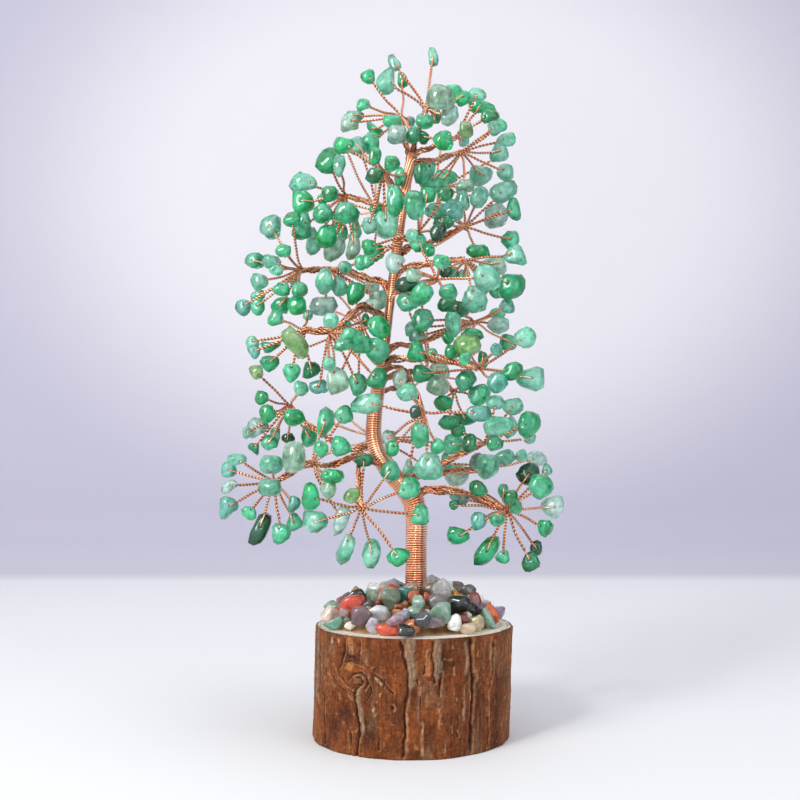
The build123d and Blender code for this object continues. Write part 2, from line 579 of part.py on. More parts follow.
def eye_route(tip, outward, hole_axis, hole, normals, offsets):
    """The eye's corners: out of the stem's tip, over the stone, through its hole and back under."""
    room = EYE_WIRE_RADIUS + STONE_GAP
    sides = []
    near = np.dot(tip - hole, outward)
    for side in (hole_axis, -hole_axis):
        slopes = normals @ side
        exits = np.where(slopes > 1e-9, (offsets - normals @ hole) / np.maximum(slopes, 1e-9), np.inf)
        height = exits.min() + EYE_BEND_RADIUS
        lift = 0.0
        while lift < EYE_LIFTS:
            above = hole + side * (height + lift * STONE_GAP)
            rise = EYE_SHOULDER_RISE_SHARE * height + lift * EYE_BEND_RADIUS
            shoulder = hole + outward * EYE_SHOULDER_SHARE * near + side * rise
            start = tip + side * EYE_END_SPACING
            if path_is_outside([start, shoulder, above], normals, offsets, room):
                break
            lift += EYE_LIFTS / EYE_LIFT_TRIES
        sides.append((start, shoulder, above))
    front, back = sides
    return [front[0], front[1], front[2], back[2], back[1], back[0]]


def path_is_outside(points, normals, offsets, room):
    starts, ends = np.array(points[:-1]), np.array(points[1:])
    return not segments_enter(starts, ends, np.full(len(starts), room), normals, offsets).any()


def stone_on_wire(hub, middle, shape, placed):
    """One stone's planes, its stem and its eye about a hub, or None where they don't fit."""
    corners, normals, offsets = shape
    away = middle - hub
    length = np.linalg.norm(away)
    outward = away / length
    corners = corners + middle
    offsets = offsets + normals @ middle
    if not placed.stone_is_clear(middle, corners, normals, offsets, STONE_GAP):
        return None
    slopes = -(normals @ outward)
    near = np.where(slopes > 1e-9, (offsets - normals @ middle) / np.maximum(slopes, 1e-9), np.inf).min()
    tip = middle - outward * (near + EYE_REACH)
    if length - near - EYE_REACH < 4 * EYE_REACH:
        return None
    hole = middle - outward * HOLE_PLACE_SHARE * near
    facing = np.array([0.0, -1.0, 0.0])
    axis = facing - outward * np.dot(facing, outward)
    if np.linalg.norm(axis) < 0.35:
        axis = np.cross(outward, [1.0, 0.0, 0.0])
    axis = unit(axis)
    eye = eye_route(tip, -outward, axis, hole, normals, offsets)
    if not placed.wires_are_clear(eye, EYE_WIRE_RADIUS, STEM_CLEARANCE):
        return None
    reach = STEM_STEP
    while reach < STEM_START_SHARE * length:
        root = hub + outward * reach
        if not placed.wires_near(root, STEM_RADIUS + STEM_SEAT).any():
            break
        if placed.wires_are_clear([root, tip], STEM_RADIUS, STEM_CLEARANCE):
            return {"middle": middle, "corners": corners, "normals": normals, "offsets": offsets,
                    "root": root, "tip": tip, "eye": eye, "hole": hole, "axis": axis}
        reach += STEM_STEP
    return None


def place_stone(random, hub, hub_depth, stone, reach, order, behind, placed):
    """Places one stone where the photo shows it, at the first depth that leaves it clear."""
    px, py, width, height = stone[:4]
    tilt = stone[4] if len(stone) > 4 else random.uniform(-6, 6)
    on_hub = place(px, py, hub_depth)
    aside = math.hypot(on_hub[0] - hub[0], on_hub[2] - hub[2])
    swing = math.sqrt(max(reach**2 - aside**2, 0)) * STONE_SWING_SHARE
    hidden = min(width, height) < HIDDEN_STONE_PX
    backwards = hidden or (aside > OUTER_STONE_SHARE * reach and order % 2 == 1)
    first = hub_depth + (swing if backwards or behind else -swing)
    for scale in SMALLER_SHARES:
        size = np.maximum(np.array([width, height]) * PIXEL * scale, STONE_LEAST_SIZE * scale)
        thickness = np.dot(STONE_THICKNESS_SHARES, [min(size), max(size)])
        corners = chip(random, size[0], size[1], thickness, tilt)
        triangles, normals, offsets = hull(corners)
        for trial in range(DEPTH_TRIES):
            step = (trial + 1) // 2 * (1 if trial % 2 else -1)
            depth = first + step * DEPTH_STEP
            near = (VIEW_DISTANCE + depth) / VIEW_DISTANCE
            shape = (corners * near, normals, offsets * near)
            found = stone_on_wire(hub, place(px, py, depth), shape, placed)
            if found:
                found["triangles"] = triangles
                placed.add_stone(found["middle"], found["corners"], found["normals"], found["offsets"])
                placed.add_wire([found["root"], found["tip"]], STEM_RADIUS)
                placed.add_wire(found["eye"], EYE_WIRE_RADIUS)
                return found
    return None


def stone_solid(found):
    """The chip with its drilled hole."""
    body = polyhedron(found["corners"], found["triangles"])
    size = np.linalg.norm(found["corners"] - found["middle"], axis=1).max()
    start = found["hole"] - found["axis"] * size * CUT_OVERRUN
    drill = Solid.make_cylinder(EYE_WIRE_RADIUS + HOLE_CLEARANCE, 2 * size * CUT_OVERRUN,
                                Plane(origin=Vector(*start), z_dir=Vector(*found["axis"])))
    return (body - drill).solids()[0]


def stem_solid(found):
    """The twisted part of a stone's wire, as one straight rod."""
    along = found["tip"] - found["root"]
    base = Plane(origin=Vector(*found["root"]), z_dir=Vector(*along))
    return Solid.make_cylinder(STEM_RADIUS, float(np.linalg.norm(along)), base)


# Pieces


def outline_radius(angle_deg, reach):
    waves = sum(share * math.cos(math.radians(count * (angle_deg - phase)))
                for count, share, phase in BARK_WAVES_SHARE)
    return reach * (1 + waves)


def at_angle(angle_deg, reach):
    """A point of the stump's outline, counted from the front, to the right."""
    angle = math.radians(angle_deg)
    return Vector(reach * math.sin(angle) - STUMP_LEAN / 2, -reach * math.cos(angle), 0)


def furrow_angles():
    half_width = STUMP_RADIUS / PIXEL
    shown = [math.degrees(math.asin((px - AXIS_PX) / half_width)) for px in FURROW_PX]
    return sorted(angle % 360 for angle in shown + BACK_FURROWS_DEG)


def stump_prism(points):
    up = Vector(STUMP_LEAN, 0, STUMP_HEIGHT)
    face = make_face(Polyline(*points, close=True))
    return extrude(face, amount=up.length, dir=up)


def make_stump():
    """The wood block with the trunk's blind hole, and the bark round it with its furrows."""
    furrows = furrow_angles()
    steps = [i * BARK_STEP_DEG for i in range(int(360 / BARK_STEP_DEG))]
    half = FURROW_HALF_WIDTH_DEG
    rim = [(a, 0) for a in steps if all(abs((a - f + 180) % 360 - 180) > 2 * half for f in furrows)]
    for f in furrows:
        rim += [(f - half, 0), (f, BARK_FURROW_DEPTH), (f + half, 0)]
    rim.sort()
    outside = [at_angle(a, outline_radius(a, STUMP_RADIUS) - cut) for a, cut in rim]
    inside = [at_angle(a, outline_radius(a, STUMP_RADIUS) - BARK_THICKNESS) for a in steps]
    wood = stump_prism(inside)
    bark = stump_prism(outside) - wood
    top = trunk_at(STUMP_HEIGHT)
    root = Plane(origin=(float(top[0][0]), 0, STUMP_HEIGHT - ROOT_DEPTH))
    wood -= Solid.make_cylinder(core_radius(STUMP_HEIGHT) + WRAP_CLEARANCE, ROOT_DEPTH + CUT_OVERRUN, root)
    return wood, bark


def mound_sphere():
    """The centre height and the radius of the sphere that the glue mound is a cap of."""
    radius = (MOUND_RADIUS**2 + MOUND_RISE**2) / (2 * MOUND_RISE)
    return STUMP_HEIGHT + MOUND_RISE - radius, radius


def make_glue():
    """The cap of clear glue that the gravel lies in, round the trunk's foot."""
    centre, radius = mound_sphere()
    ball = Pos(0, 0, centre) * Sphere(radius)
    top = Plane(origin=(0, 0, STUMP_HEIGHT))
    keep = Solid.make_cylinder(MOUND_RADIUS + CUT_OVERRUN, MOUND_RISE + CUT_OVERRUN, top)
    foot = trunk_at(STUMP_HEIGHT)[0]
    bore = Plane(origin=(float(foot[0]), 0, STUMP_HEIGHT - CUT_OVERRUN))
    hole = Solid.make_cylinder(core_radius(STUMP_HEIGHT) + WRAP_CLEARANCE, MOUND_RISE + 2 * CUT_OVERRUN, bore)
    return (ball & keep) - hole


def core_heights():
    """The heights of the circles that the trunk's core runs through."""
    heights = [STUMP_HEIGHT - ROOT_DEPTH, STUMP_HEIGHT]
    while heights[-1] < TRUNK_TOP - TRUNK_FOOT_RADIUS:
        heights.append(heights[-1] + TRUNK_FOOT_RADIUS * TRUNK_SPACING_SHARE)
    heights[-1] = TRUNK_TOP
    return heights


def make_trunk_core():
    """The bundle of wires inside the wrap: a ruled run through circles along the trunk's line."""
    rings = []
    for height in core_heights():
        middle, along, _ = trunk_at(max(height, STUMP_HEIGHT))
        middle = np.array([middle[0], 0.0, height])
        rings.append(Plane(origin=Vector(*middle), z_dir=Vector(*along), x_dir=(0, 1, 0))
                     * Circle(core_radius(max(height, STUMP_HEIGHT))))
    return loft(rings, ruled=True)


def biarc(p0, t0, p1, t1):
    """Two arcs that leave p0 along t0 and reach p1 along t1."""
    v = p1 - p0
    b, a = v @ (t0 + t1), 2 * (1 - t0 @ t1)
    d = (-b + math.sqrt(b * b + a * (v @ v))) / a
    q0, q1 = p0 + d * t0, p1 - d * t1
    joint = (q0 + q1) / 2
    return [Edge.make_tangent_arc(Vector(*p0), Vector(*t0), Vector(*joint)),
            Edge.make_tangent_arc(Vector(*joint), Vector(*(q1 - q0)), Vector(*p1))]


def make_wrap(name, low_px, high_px):
    """One winding of wire round the trunk, as an unbroken tube on half-turn biarcs."""
    low, high = place(0, low_px, 0)[2], place(0, high_px, 0)[2]

    def at(turns):
        height = low + (high - low) * turns / WRAP_TURNS
        middle, along, _ = trunk_at(height)
        reach = core_radius(height) + WRAP_CLEARANCE + WRAP_WIRE_RADIUS
        out = unit(np.array([along[2], 0.0, -along[0]]))
        angle = 2 * math.pi * turns
        return middle + reach * (math.cos(angle) * out + math.sin(angle) * np.array([0.0, 1.0, 0.0]))

    small = 1e-4
    stations = [k / 2 for k in range(2 * WRAP_TURNS + 1)]
    points = [at(k) for k in stations]
    tangents = [unit(at(min(k + small, WRAP_TURNS)) - at(max(k - small, 0))) for k in stations]
    edges = []
    for i in range(len(points) - 1):
        edges += biarc(points[i], tangents[i], points[i + 1], tangents[i + 1])
    line = np.array([at(k) for k in np.linspace(0, WRAP_TURNS, WRAP_SAMPLES_A_TURN * WRAP_TURNS + 1)])
    gaps = np.linalg.norm(line[:, None, :] - line[None, :, :], axis=2)
    index = np.arange(len(line))
    apart = np.abs(index[:, None] - index[None, :]) > WRAP_SAMPLES_A_TURN / 2
    gap = gaps[apart].min() - 2 * WRAP_WIRE_RADIUS
    print(name, "turns", WRAP_TURNS, "least gap to itself", round(float(gap), 2))
    start = Plane(origin=Vector(*points[0]), z_dir=Vector(*tangents[0]))
    return sweep(start * Circle(WRAP_WIRE_RADIUS), path=Wire(edges))


def limb_points(leaves_px, run):
    """A limb's corners, from just outside the trunk's wrap to its last hub."""
    stops = [place(px, py, share * CANOPY_DEPTH) for px, py, share in run]
    if leaves_px is None:
        middle, along, _ = trunk_at(TRUNK_TOP)
        return [middle + along * STALK_CLEARANCE] + stops
    return [place(AXIS_PX, leaves_px, 0)] + stops


def trunk_surface():
    """The trunk's core, and its wrap where a winding lies, as thick segments."""
    heights = core_heights()
    rings = [np.array([trunk_at(max(height, STUMP_HEIGHT))[0][0], 0.0, height]) for height in heights]
    radii = np.array([core_radius(max(height, STUMP_HEIGHT)) for height in heights])
    starts, ends = np.array(rings[:-1]), np.array(rings[1:])
    thick = np.maximum(radii[:-1], radii[1:])
    for low_px, high_px in WRAPS_PX.values():
        low, high = place(0, low_px, 0)[2], place(0, high_px, 0)[2]
        turns = [trunk_at(height) for height in np.linspace(low, high, 2 * WRAP_TURNS)]
        starts = np.vstack([starts, [turn[0] for turn in turns[:-1]]])
        ends = np.vstack([ends, [turn[0] for turn in turns[1:]]])
        thick = np.concatenate([thick, [turn[2] for turn in turns[1:]]])
    return starts, ends, thick


def seat_on_trunk(points, radius, surface):
    """Moves a limb's first point from the trunk's middle out to its seat on the trunk."""
    middle = trunk_at(points[0][2])[0]
    outward = unit(points[1] - middle)
    aside = unit(np.cross(outward, [0.0, 1.0, 0.0]))
    above = np.cross(outward, aside)
    turns = np.linspace(0, 2 * math.pi, WRAP_SAMPLES_A_TURN)
    rim = radius * (np.outer(np.cos(turns), aside) + np.outer(np.sin(turns), above))
    starts, ends, thick = surface
    reach = 0.0
    while True:
        here = middle + outward * reach
        gap = min((point_to_segments(point, starts, ends) - thick).min() for point in here + rim)
        if gap >= STALK_CLEARANCE:
            return [here] + points[1:]
        reach += STALK_CLEARANCE / 2


def make_branches():
    """Every branch: its limbs first, then each cluster's stones, stems and eyes."""
    placed = Placed()
    rings = [trunk_at(height) for height in np.linspace(STUMP_HEIGHT, TRUNK_TOP, TRUNK_SAMPLES)]
    for low, high in zip(rings, rings[1:]):
        placed.add_wire([low[0], high[0]], max(low[2], high[2]))
    surface = trunk_surface()
    limbs = []
    for name, rows in BRANCHES.items():
        for leaves_px, run, clusters, share in rows:
            radius = STALK_RADIUS * share
            points = limb_points(leaves_px, run)
            if leaves_px is not None:
                points = seat_on_trunk(points, radius, surface)
            for other_name, other_points, other_radius, _, _ in limbs:
                gap = min(segment_gaps(a, b, np.array(other_points[:-1]), np.array(other_points[1:])).min()
                          for a, b in zip(points, points[1:])) - radius - other_radius
                if gap < STONE_GAP:
                    print("limbs too near:", name, other_name, round(float(gap), 2))
            limbs.append((name, points, radius, clusters, run))
    for _, points, radius, _, _ in limbs:
        placed.add_wire(points, radius)
        placed.add_wire([points[-1], points[-1]], radius * HUB_KNOT_SHARE)
    branches = {name: {"wires": [], "stones": []} for name in BRANCHES}
    random = np.random.default_rng(7)
    total, left_out = 0, []
    for name, points, radius, clusters, run in limbs:
        bend = LIMB_BEND_SHARE * radius
        knot = Pos(*points[-1]) * Sphere(radius * HUB_KNOT_SHARE)
        branches[name]["wires"].append((tube(points, radius, bend) + knot).solids()[0])
        for index, stones in clusters.items():
            hub = points[index + 1]
            hub_depth = run[index][2] * CANOPY_DEPTH
            asides = [math.hypot(*(place(s[0], s[1], hub_depth) - hub)[[0, 2]]) for s in stones]
            reach = min(max(max(asides), 4 * STONE_LEAST_SIZE), 7 * STONE_LEAST_SIZE)
            behind = name.startswith("back")
            ordered = sorted(enumerate(stones), key=lambda row: -row[1][2] * row[1][3])
            for order, stone in ordered:
                total += 1
                found = place_stone(random, hub, hub_depth, stone, reach, order, behind, placed)
                if found is None:
                    left_out.append((name, stone))
                    continue
                branches[name]["stones"].append(stone_solid(found))
                branches[name]["wires"].append(stem_solid(found))
                branches[name]["wires"].append(tube(found["eye"], EYE_WIRE_RADIUS, EYE_BEND_RADIUS))
    print("stones asked for", total, "left out", left_out)
    return branches


def make_gravel():
    """Gravel seated on the mound, front row first, then back to front, each piece clear of the rest."""
    centre_height, mound_radius = mound_sphere()
    centre = np.array([0.0, 0.0, centre_height])
    placed = Placed()
    foot = trunk_at(STUMP_HEIGHT)
    tall = trunk_at(STUMP_HEIGHT + 3 * MOUND_RISE)
    placed.add_wire([foot[0], tall[0]], foot[2])
    random = np.random.default_rng(11)
    gravel = {name: [] for name in GRAVEL_PX}
    rows = sorted(((stone[1], name, stone) for name, stones in GRAVEL_PX.items() for stone in stones),
                  key=lambda row: (row[0] < FRONT_ROW_PX, row[0]))
    left_out = []
    down = np.array([0, 0, GRAVEL_STEP / 2])

    def is_clear(here, corners, normals, offsets):
        world = corners + here
        above = np.linalg.norm(world - centre, axis=1).min() - mound_radius
        low = world[:, 2].min() - STUMP_HEIGHT
        inside = STUMP_RADIUS - GRAVEL_RIM - np.hypot(world[:, 0], world[:, 1]).max()
        if min(above, low) < GRAVEL_GAP or inside < 0:
            return False
        return placed.stone_is_clear(here, world, normals, offsets + normals @ here, GRAVEL_GAP)

    def settle(name, middle, corners, toward, limit):
        """Moves a piece off the mound and off what lies there until it is clear, then lets it down."""
        triangles, normals, offsets = hull(corners)
        for step in range(int(limit / GRAVEL_STEP) + 1):
            here = middle + toward * step * GRAVEL_STEP
            if not is_clear(here, corners, normals, offsets):
                continue
            lower = here - down
            while is_clear(lower, corners, normals, offsets):
                here, lower = lower, lower - down
            placed.add_stone(here, corners + here, normals, offsets + normals @ here)
            gravel[name].append(polyhedron(corners + here, triangles))
            return True
        return False

    for _, name, stone in rows:
        px, py, width, height = stone[:4]
        tilt = stone[4] if len(stone) > 4 else random.uniform(-12, 12)
        size = np.array([width, height]) * PIXEL * GRAVEL_OVERLAP_SHARE
        whole = chip(random, size[0], size[1], GRAVEL_THICKNESS_SHARE * min(size), tilt)
        eye = place(*EYE_PX, -VIEW_DISTANCE)
        ray = unit(place(px, py, 0) - eye)
        along = (centre - eye) @ ray
        off = np.linalg.norm(centre - eye - ray * along)
        for scale in SMALLER_SHARES:
            reach = mound_radius + GRAVEL_LIFT_SHARE * min(size) * scale
            start = eye + ray * (along - math.sqrt(max(reach**2 - off**2, 0)))
            if settle(name, start, whole * scale, -ray, 2 * MOUND_RISE):
                break
            if settle(name, start, whole * scale, np.array([0, 0, 1]), min(size)):
                break
        else:
            left_out.append((name, stone))
    for kind, count in GRAVEL_TRIES.items():
        for k in range(count):
            angle = math.pi * (3 - math.sqrt(5)) * k
            out = (MOUND_RADIUS + GRAVEL_SPREAD) * math.sqrt((k + 0.5) / count)
            height = centre_height + math.sqrt(mound_radius**2 - out**2)
            base = np.array([out * math.cos(angle), out * math.sin(angle), max(height, STUMP_HEIGHT)])
            normal = unit(base - centre)
            across, up, deep = GRAVEL_SIZES[kind] * random.uniform(0.8, 1.2, 3)
            tilt = random.uniform(-40, 40)
            corners = chip(random, across, up, deep * GRAVEL_THICKNESS_SHARE, tilt)
            lift = GRAVEL_LIFT_SHARE * min(across, up, deep)
            name = FILL_GRAVEL[k % len(FILL_GRAVEL)]
            settle(name, base + normal * lift, corners, normal, lift + GRAVEL_RISE_LIMIT)
    print("gravel", sum(len(solids) for solids in gravel.values()), "left out", left_out)
    return gravel


def save(name, solids):
    export_step(Compound(children=list(solids)), f"parts/{name}.step")


def main():
    wood, bark = make_stump()
    save("wood_block", wood.solids())
    save("bark", bark.solids())
    save("glue_bed", make_glue().solids())
    save("trunk_core", make_trunk_core().solids())
    for name, (low_px, high_px) in WRAPS_PX.items():
        save(name, make_wrap(name, low_px, high_px).solids())
    for name, solids in make_gravel().items():
        save(name, solids)
    for name, pieces in make_branches().items():
        save(f"{name}_wires", pieces["wires"])
        save(f"{name}_stones", pieces["stones"])


main()
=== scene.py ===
"""A small tree of twisted copper wire with green stone chips, rooted in a stump that is heaped with gravel.

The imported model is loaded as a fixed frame. Lengths in the working are in millimetres, and are turned into
metres where a mesh is made.
"""
import math

import bpy
import numpy as np
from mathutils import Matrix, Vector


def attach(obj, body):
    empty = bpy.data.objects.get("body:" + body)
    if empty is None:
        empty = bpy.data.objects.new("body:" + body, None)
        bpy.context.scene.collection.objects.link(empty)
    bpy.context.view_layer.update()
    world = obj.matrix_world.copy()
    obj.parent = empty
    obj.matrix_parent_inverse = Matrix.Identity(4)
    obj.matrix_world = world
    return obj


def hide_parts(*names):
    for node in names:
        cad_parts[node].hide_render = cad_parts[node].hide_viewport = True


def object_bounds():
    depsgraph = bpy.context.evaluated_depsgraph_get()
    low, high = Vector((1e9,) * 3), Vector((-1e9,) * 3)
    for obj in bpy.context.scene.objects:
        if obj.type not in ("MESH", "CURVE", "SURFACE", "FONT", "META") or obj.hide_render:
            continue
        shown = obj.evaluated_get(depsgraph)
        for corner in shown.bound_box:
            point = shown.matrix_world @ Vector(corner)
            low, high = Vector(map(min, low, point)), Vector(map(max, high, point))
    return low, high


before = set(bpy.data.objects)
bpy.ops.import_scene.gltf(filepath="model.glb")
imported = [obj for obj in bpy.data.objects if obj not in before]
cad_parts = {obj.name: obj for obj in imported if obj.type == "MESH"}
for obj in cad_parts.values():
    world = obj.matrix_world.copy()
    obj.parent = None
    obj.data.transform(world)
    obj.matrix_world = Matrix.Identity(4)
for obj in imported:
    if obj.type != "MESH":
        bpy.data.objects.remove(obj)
CAD_BOX = [list(corner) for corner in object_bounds()]

bl_info = {
    "name": "Gemstone tree ornament",
    "version": (1, 0, 0),
    "blender": (4, 5, 0),
    "location": "3D View > Sidebar > Gemstone tree",
    "description": "Dresses a wire tree's packed model with its chips, wires, bark, gravel and stage",
    "category": "Object",
}

MM = 0.001
TURN = 2 * math.pi

# Sizes that the source of the solids is laid out with, in millimetres.
STUMP_HEIGHT = 41.3
STUMP_RADIUS = 37.3
STUMP_LEAN = 1.2
GIRTH = TURN * STUMP_RADIUS
BARK_THICKNESS = 2.2
MOUND_RADIUS = 30.2
MOUND_RISE = 10.8
TREE_RISE = 216.0
CANOPY_DEPTH = 36.0
ROOT_DEPTH = 14.0
EYE_END_SPACING = 0.19

# In millimetres too: within how much corners are one, the step over which the trunk's slope is taken, the wood's
# yearly rings, and how far inside the solids' box the stones stay.
WELD = 0.001
SLOPE_STEP = 0.0413
YEAR_RING = 1.3
BOX_ROOM = 0.05
BOX_LOW, BOX_HIGH = np.array(CAD_BOX) / MM + np.array([[BOX_ROOM], [-BOX_ROOM]])
BACKWARD = np.array([0.0, 1.0, 0.0])

# Painted shade on copper beside other wires: the share of its depth on a wire's flank, and what turning towards them
# adds or takes away. This painted shade darkens blue more than red, as light does that has gone from wire to wire.
FLANK_SHARE = 0.45
TURNED_SHARE = 0.6
CREVICE_SHADE_TINT = np.array([0.86, 1.0, 1.1])

# The photograph's camera, in its own pixels.
FRAME_PX = 800
FOCAL_PX = 1055
EYE_PX = (400, 465)
AXIS_PX = 411.5
STUMP_TOP_PX = 623.2
TREE_RISE_PX = 575.2
SENSOR = 36.0
PIXEL = TREE_RISE / TREE_RISE_PX
VIEW_DISTANCE = FOCAL_PX * PIXEL

# The trunk's line, lowest first: (px, py, half its width in px).
TRUNK_PX = [
    (416, 661, 11.7), (416, 600, 11.7), (416, 545, 11.6), (416, 515, 11.8), (412, 498, 12.0), (403, 486, 11.3),
    (391, 473, 10.0), (380, 458, 9.2), (374, 440, 8.8), (374, 420, 8.5), (377, 396, 7.8), (381, 372, 6.6),
    (384, 350, 5.7), (388, 320, 5.2), (393, 280, 4.9), (398, 240, 4.7), (403, 205, 4.4), (408, 175, 4.2),
    (413, 150, 4.0),
]

# Where each length of fine winding starts and ends on the trunk, in py.
WINDINGS_PX = {
    "trunk_wrap_foot": (629, 489), "trunk_wrap_bend": (492, 388),
    "trunk_wrap_middle": (390, 262), "trunk_wrap_top": (264, 206),
}

# Each limb: the height in px where it leaves the trunk, its run of (px, py, share of the canopy's depth),
# the points of the run that stems fan out from, and its thickness as a share.
LIMBS = {
    "crown_tip": [(None, [(419, 130, -0.06), (426, 108, -0.15)], (1,), 0.9)],
    "crown_left": [(161, [(404, 137, 0.1), (402, 117, 0.25)], (1,), 0.9)],
    "crown_right": [(158, [(438, 145, -0.2), (457, 137, -0.35)], (1,), 0.8),
                    (167, [(438, 159, 0.22), (461, 152, 0.4)], (1,), 0.9)],
    "upper_left_inner": [(199, [(392, 184, -0.25), (384, 172, -0.45)], (1,), 0.9)],
    "upper_left": [(217, [(374, 204, 0.1), (345, 196, 0.15)], (1,), 1.1)],
    "left": [(289, [(362, 277, 0.15), (331, 269, 0.35), (301, 270, 0.2)], (1, 2), 1.3)],
    "middle_left": [(328, [(364, 307, -0.25), (330, 331, -0.45), (303, 330, -0.4)], (1, 2), 1.5)],
    "low_left_upper": [(446, [(353, 450, 0.1), (328, 438, 0.22), (305, 421, 0.3), (290, 406, 0.35)], (3,), 1.1)],
    "low_left": [(457, [(352, 458, -0.2), (332, 465, -0.32), (312, 464, -0.42), (275, 482, -0.2)], (2, 3), 1.3)],
    "low_middle": [(468, [(360, 463, -0.45), (359, 486, -0.65), (361, 508, -0.75)], (2,), 0.8)],
    "low_right": [(494, [(452, 491, -0.12), (480, 499, -0.25), (506, 509, -0.35)], (2,), 1.5)],
    "right_low": [(480, [(443, 464, -0.1), (463, 452, -0.16), (485, 443, -0.2)], (2,), 1.4),
                  (486, [(446, 472, 0.3), (490, 468, 0.6)], (1,), 1.1)],
    "middle_right_low": [(372, [(402, 369, -0.32), (414, 388, -0.6), (424, 413, -0.7)], (2,), 0.9),
                         (382, [(412, 372, 0.15), (434, 380, 0.25), (454, 391, 0.3)], (2,), 0.9)],
    "middle_right": [(362, [(410, 358, -0.1), (445, 361, -0.2), (478, 368, -0.25)], (2,), 1.2)],
    "right_upper": [(352, [(415, 344, 0.15), (449, 332, 0.35), (474, 322, 0.45)], (2,), 1.0)],
    "right": [(276, [(425, 264, -0.05), (465, 260, -0.1)], (1,), 1.2)],
    "upper_right_top": [(256, [(430, 242, 0.15), (465, 227, 0.3)], (1,), 1.1)],
    "upper_right": [(298, [(412, 290, -0.35), (437, 279, -0.7)], (1,), 0.9)],
    "upper_middle": [(242, [(409, 238, -0.25), (419, 232, -0.5)], (1,), 0.9)],
    "back_upper": [(228, [(392, 221, 0.4), (378, 212, 0.75)], (1,), 1.0),
                   (206, [(420, 198, 0.4), (438, 190, 0.75)], (1,), 1.0)],
    "back_lower": [(332, [(379, 329, 0.4), (362, 325, 0.75)], (1,), 1.0),
                   (398, [(396, 388, 0.4), (428, 372, 0.75)], (1,), 1.0),
                   (452, [(375, 446, 0.4), (375, 438, 0.75)], (1,), 1.0)],
}

# Tones of the green stone, from nearly white to nearly black, and how many chips in a hundred have each.
GREENS = {
    "pale": ("CBE8DE", 10), "grey": ("BCDCC8", 12), "mint": ("9CE0C9", 22), "middle": ("68D8AE", 28),
    "vivid": ("30CD90", 18), "deep": ("1AA468", 6), "dark": ("0E7347", 0), "teal": ("84D2C2", 4),
    "olive": ("A2C98E", 0),
}
# Chips whose tone stands out, by the place where they show.
CHIPS_PX = {
    "olive": [(296, 344), (467, 346), (256, 372), (352, 496), (466, 131), (247, 372)],
    "teal": [(228, 507), (478, 413), (497, 383), (496, 350), (254, 352), (453, 212), (478, 521), (547, 470),
             (460, 498), (229, 470), (294, 504), (243, 307)],
    "pale": [(553, 507), (394, 263), (229, 486), (535, 459), (257, 428), (450, 116), (397, 135), (498, 326),
             (324, 306), (341, 519), (496, 215)],
    "grey": [(440, 98), (349, 123), (371, 286), (439, 371), (438, 386), (294, 458), (456, 475), (477, 463),
             (328, 489), (495, 265), (334, 248), (354, 246), (465, 186), (336, 381), (372, 306), (413, 275),
             (400, 381)],
    "mint": [(386, 82), (354, 116), (357, 147), (339, 166), (303, 183), (271, 228), (433, 57), (394, 63), (477, 95),
             (494, 128), (506, 140), (499, 153), (480, 175), (505, 172), (462, 201), (479, 197), (503, 192),
             (437, 211), (271, 262), (276, 270), (313, 243), (259, 282), (325, 281), (338, 286), (345, 267),
             (382, 299), (331, 320), (252, 342), (329, 363), (515, 255), (486, 278), (507, 306), (525, 338),
             (474, 300), (453, 324), (531, 379), (247, 433), (275, 434), (368, 404), (315, 522), (270, 464),
             (270, 488), (237, 459), (345, 549), (372, 553), (496, 403), (512, 407), (498, 426), (511, 428),
             (428, 467), (408, 467), (488, 467), (505, 458), (521, 456), (407, 392)],
    "middle": [(350, 337), (344, 345), (363, 105), (393, 122), (371, 143), (323, 214), (347, 213), (302, 228),
               (452, 91), (501, 125), (413, 135), (424, 122), (424, 171), (430, 184), (445, 178), (513, 210),
               (414, 204), (510, 240),
               (394, 203), (254, 261), (284, 251), (257, 296), (258, 306), (281, 290), (299, 291), (275, 318),
               (361, 263), (291, 373), (358, 384), (377, 351), (362, 345), (418, 243), (497, 313), (508, 342),
               (422, 320), (407, 303), (421, 294), (448, 292), (466, 380), (479, 396), (269, 443), (325, 422),
               (344, 415), (341, 447), (321, 449), (249, 513), (281, 533), (294, 522), (420, 436), (437, 446),
               (453, 444), (494, 444), (540, 488), (409, 488), (420, 515), (516, 507), (390, 471)],
    "vivid": [(368, 77), (374, 130), (375, 157), (343, 145), (328, 162), (303, 203), (330, 194), (391, 164),
              (327, 237), (402, 80), (462, 98), (480, 107), (442, 141), (427, 196), (369, 247), (374, 252),
              (281, 306), (297, 306), (355, 293), (270, 347), (270, 363), (377, 379), (379, 327), (477, 251),
              (511, 286), (473, 335), (416, 352), (451, 352), (423, 374), (512, 372), (262, 398), (267, 414),
              (293, 418), (333, 477), (310, 497), (528, 424), (545, 528), (458, 536), (486, 551), (398, 556)],
    "deep": [(375, 176), (489, 116), (436, 117), (424, 138), (445, 194), (366, 321), (311, 370), (447, 304),
             (459, 310), (483, 361), (254, 448), (364, 461), (469, 444), (458, 431), (464, 419), (478, 489),
             (454, 505), (510, 497)],
    "dark": [(260, 529), (528, 474), (415, 412), (406, 285), (445, 271), (288, 438), (438, 232), (536, 548)],
}
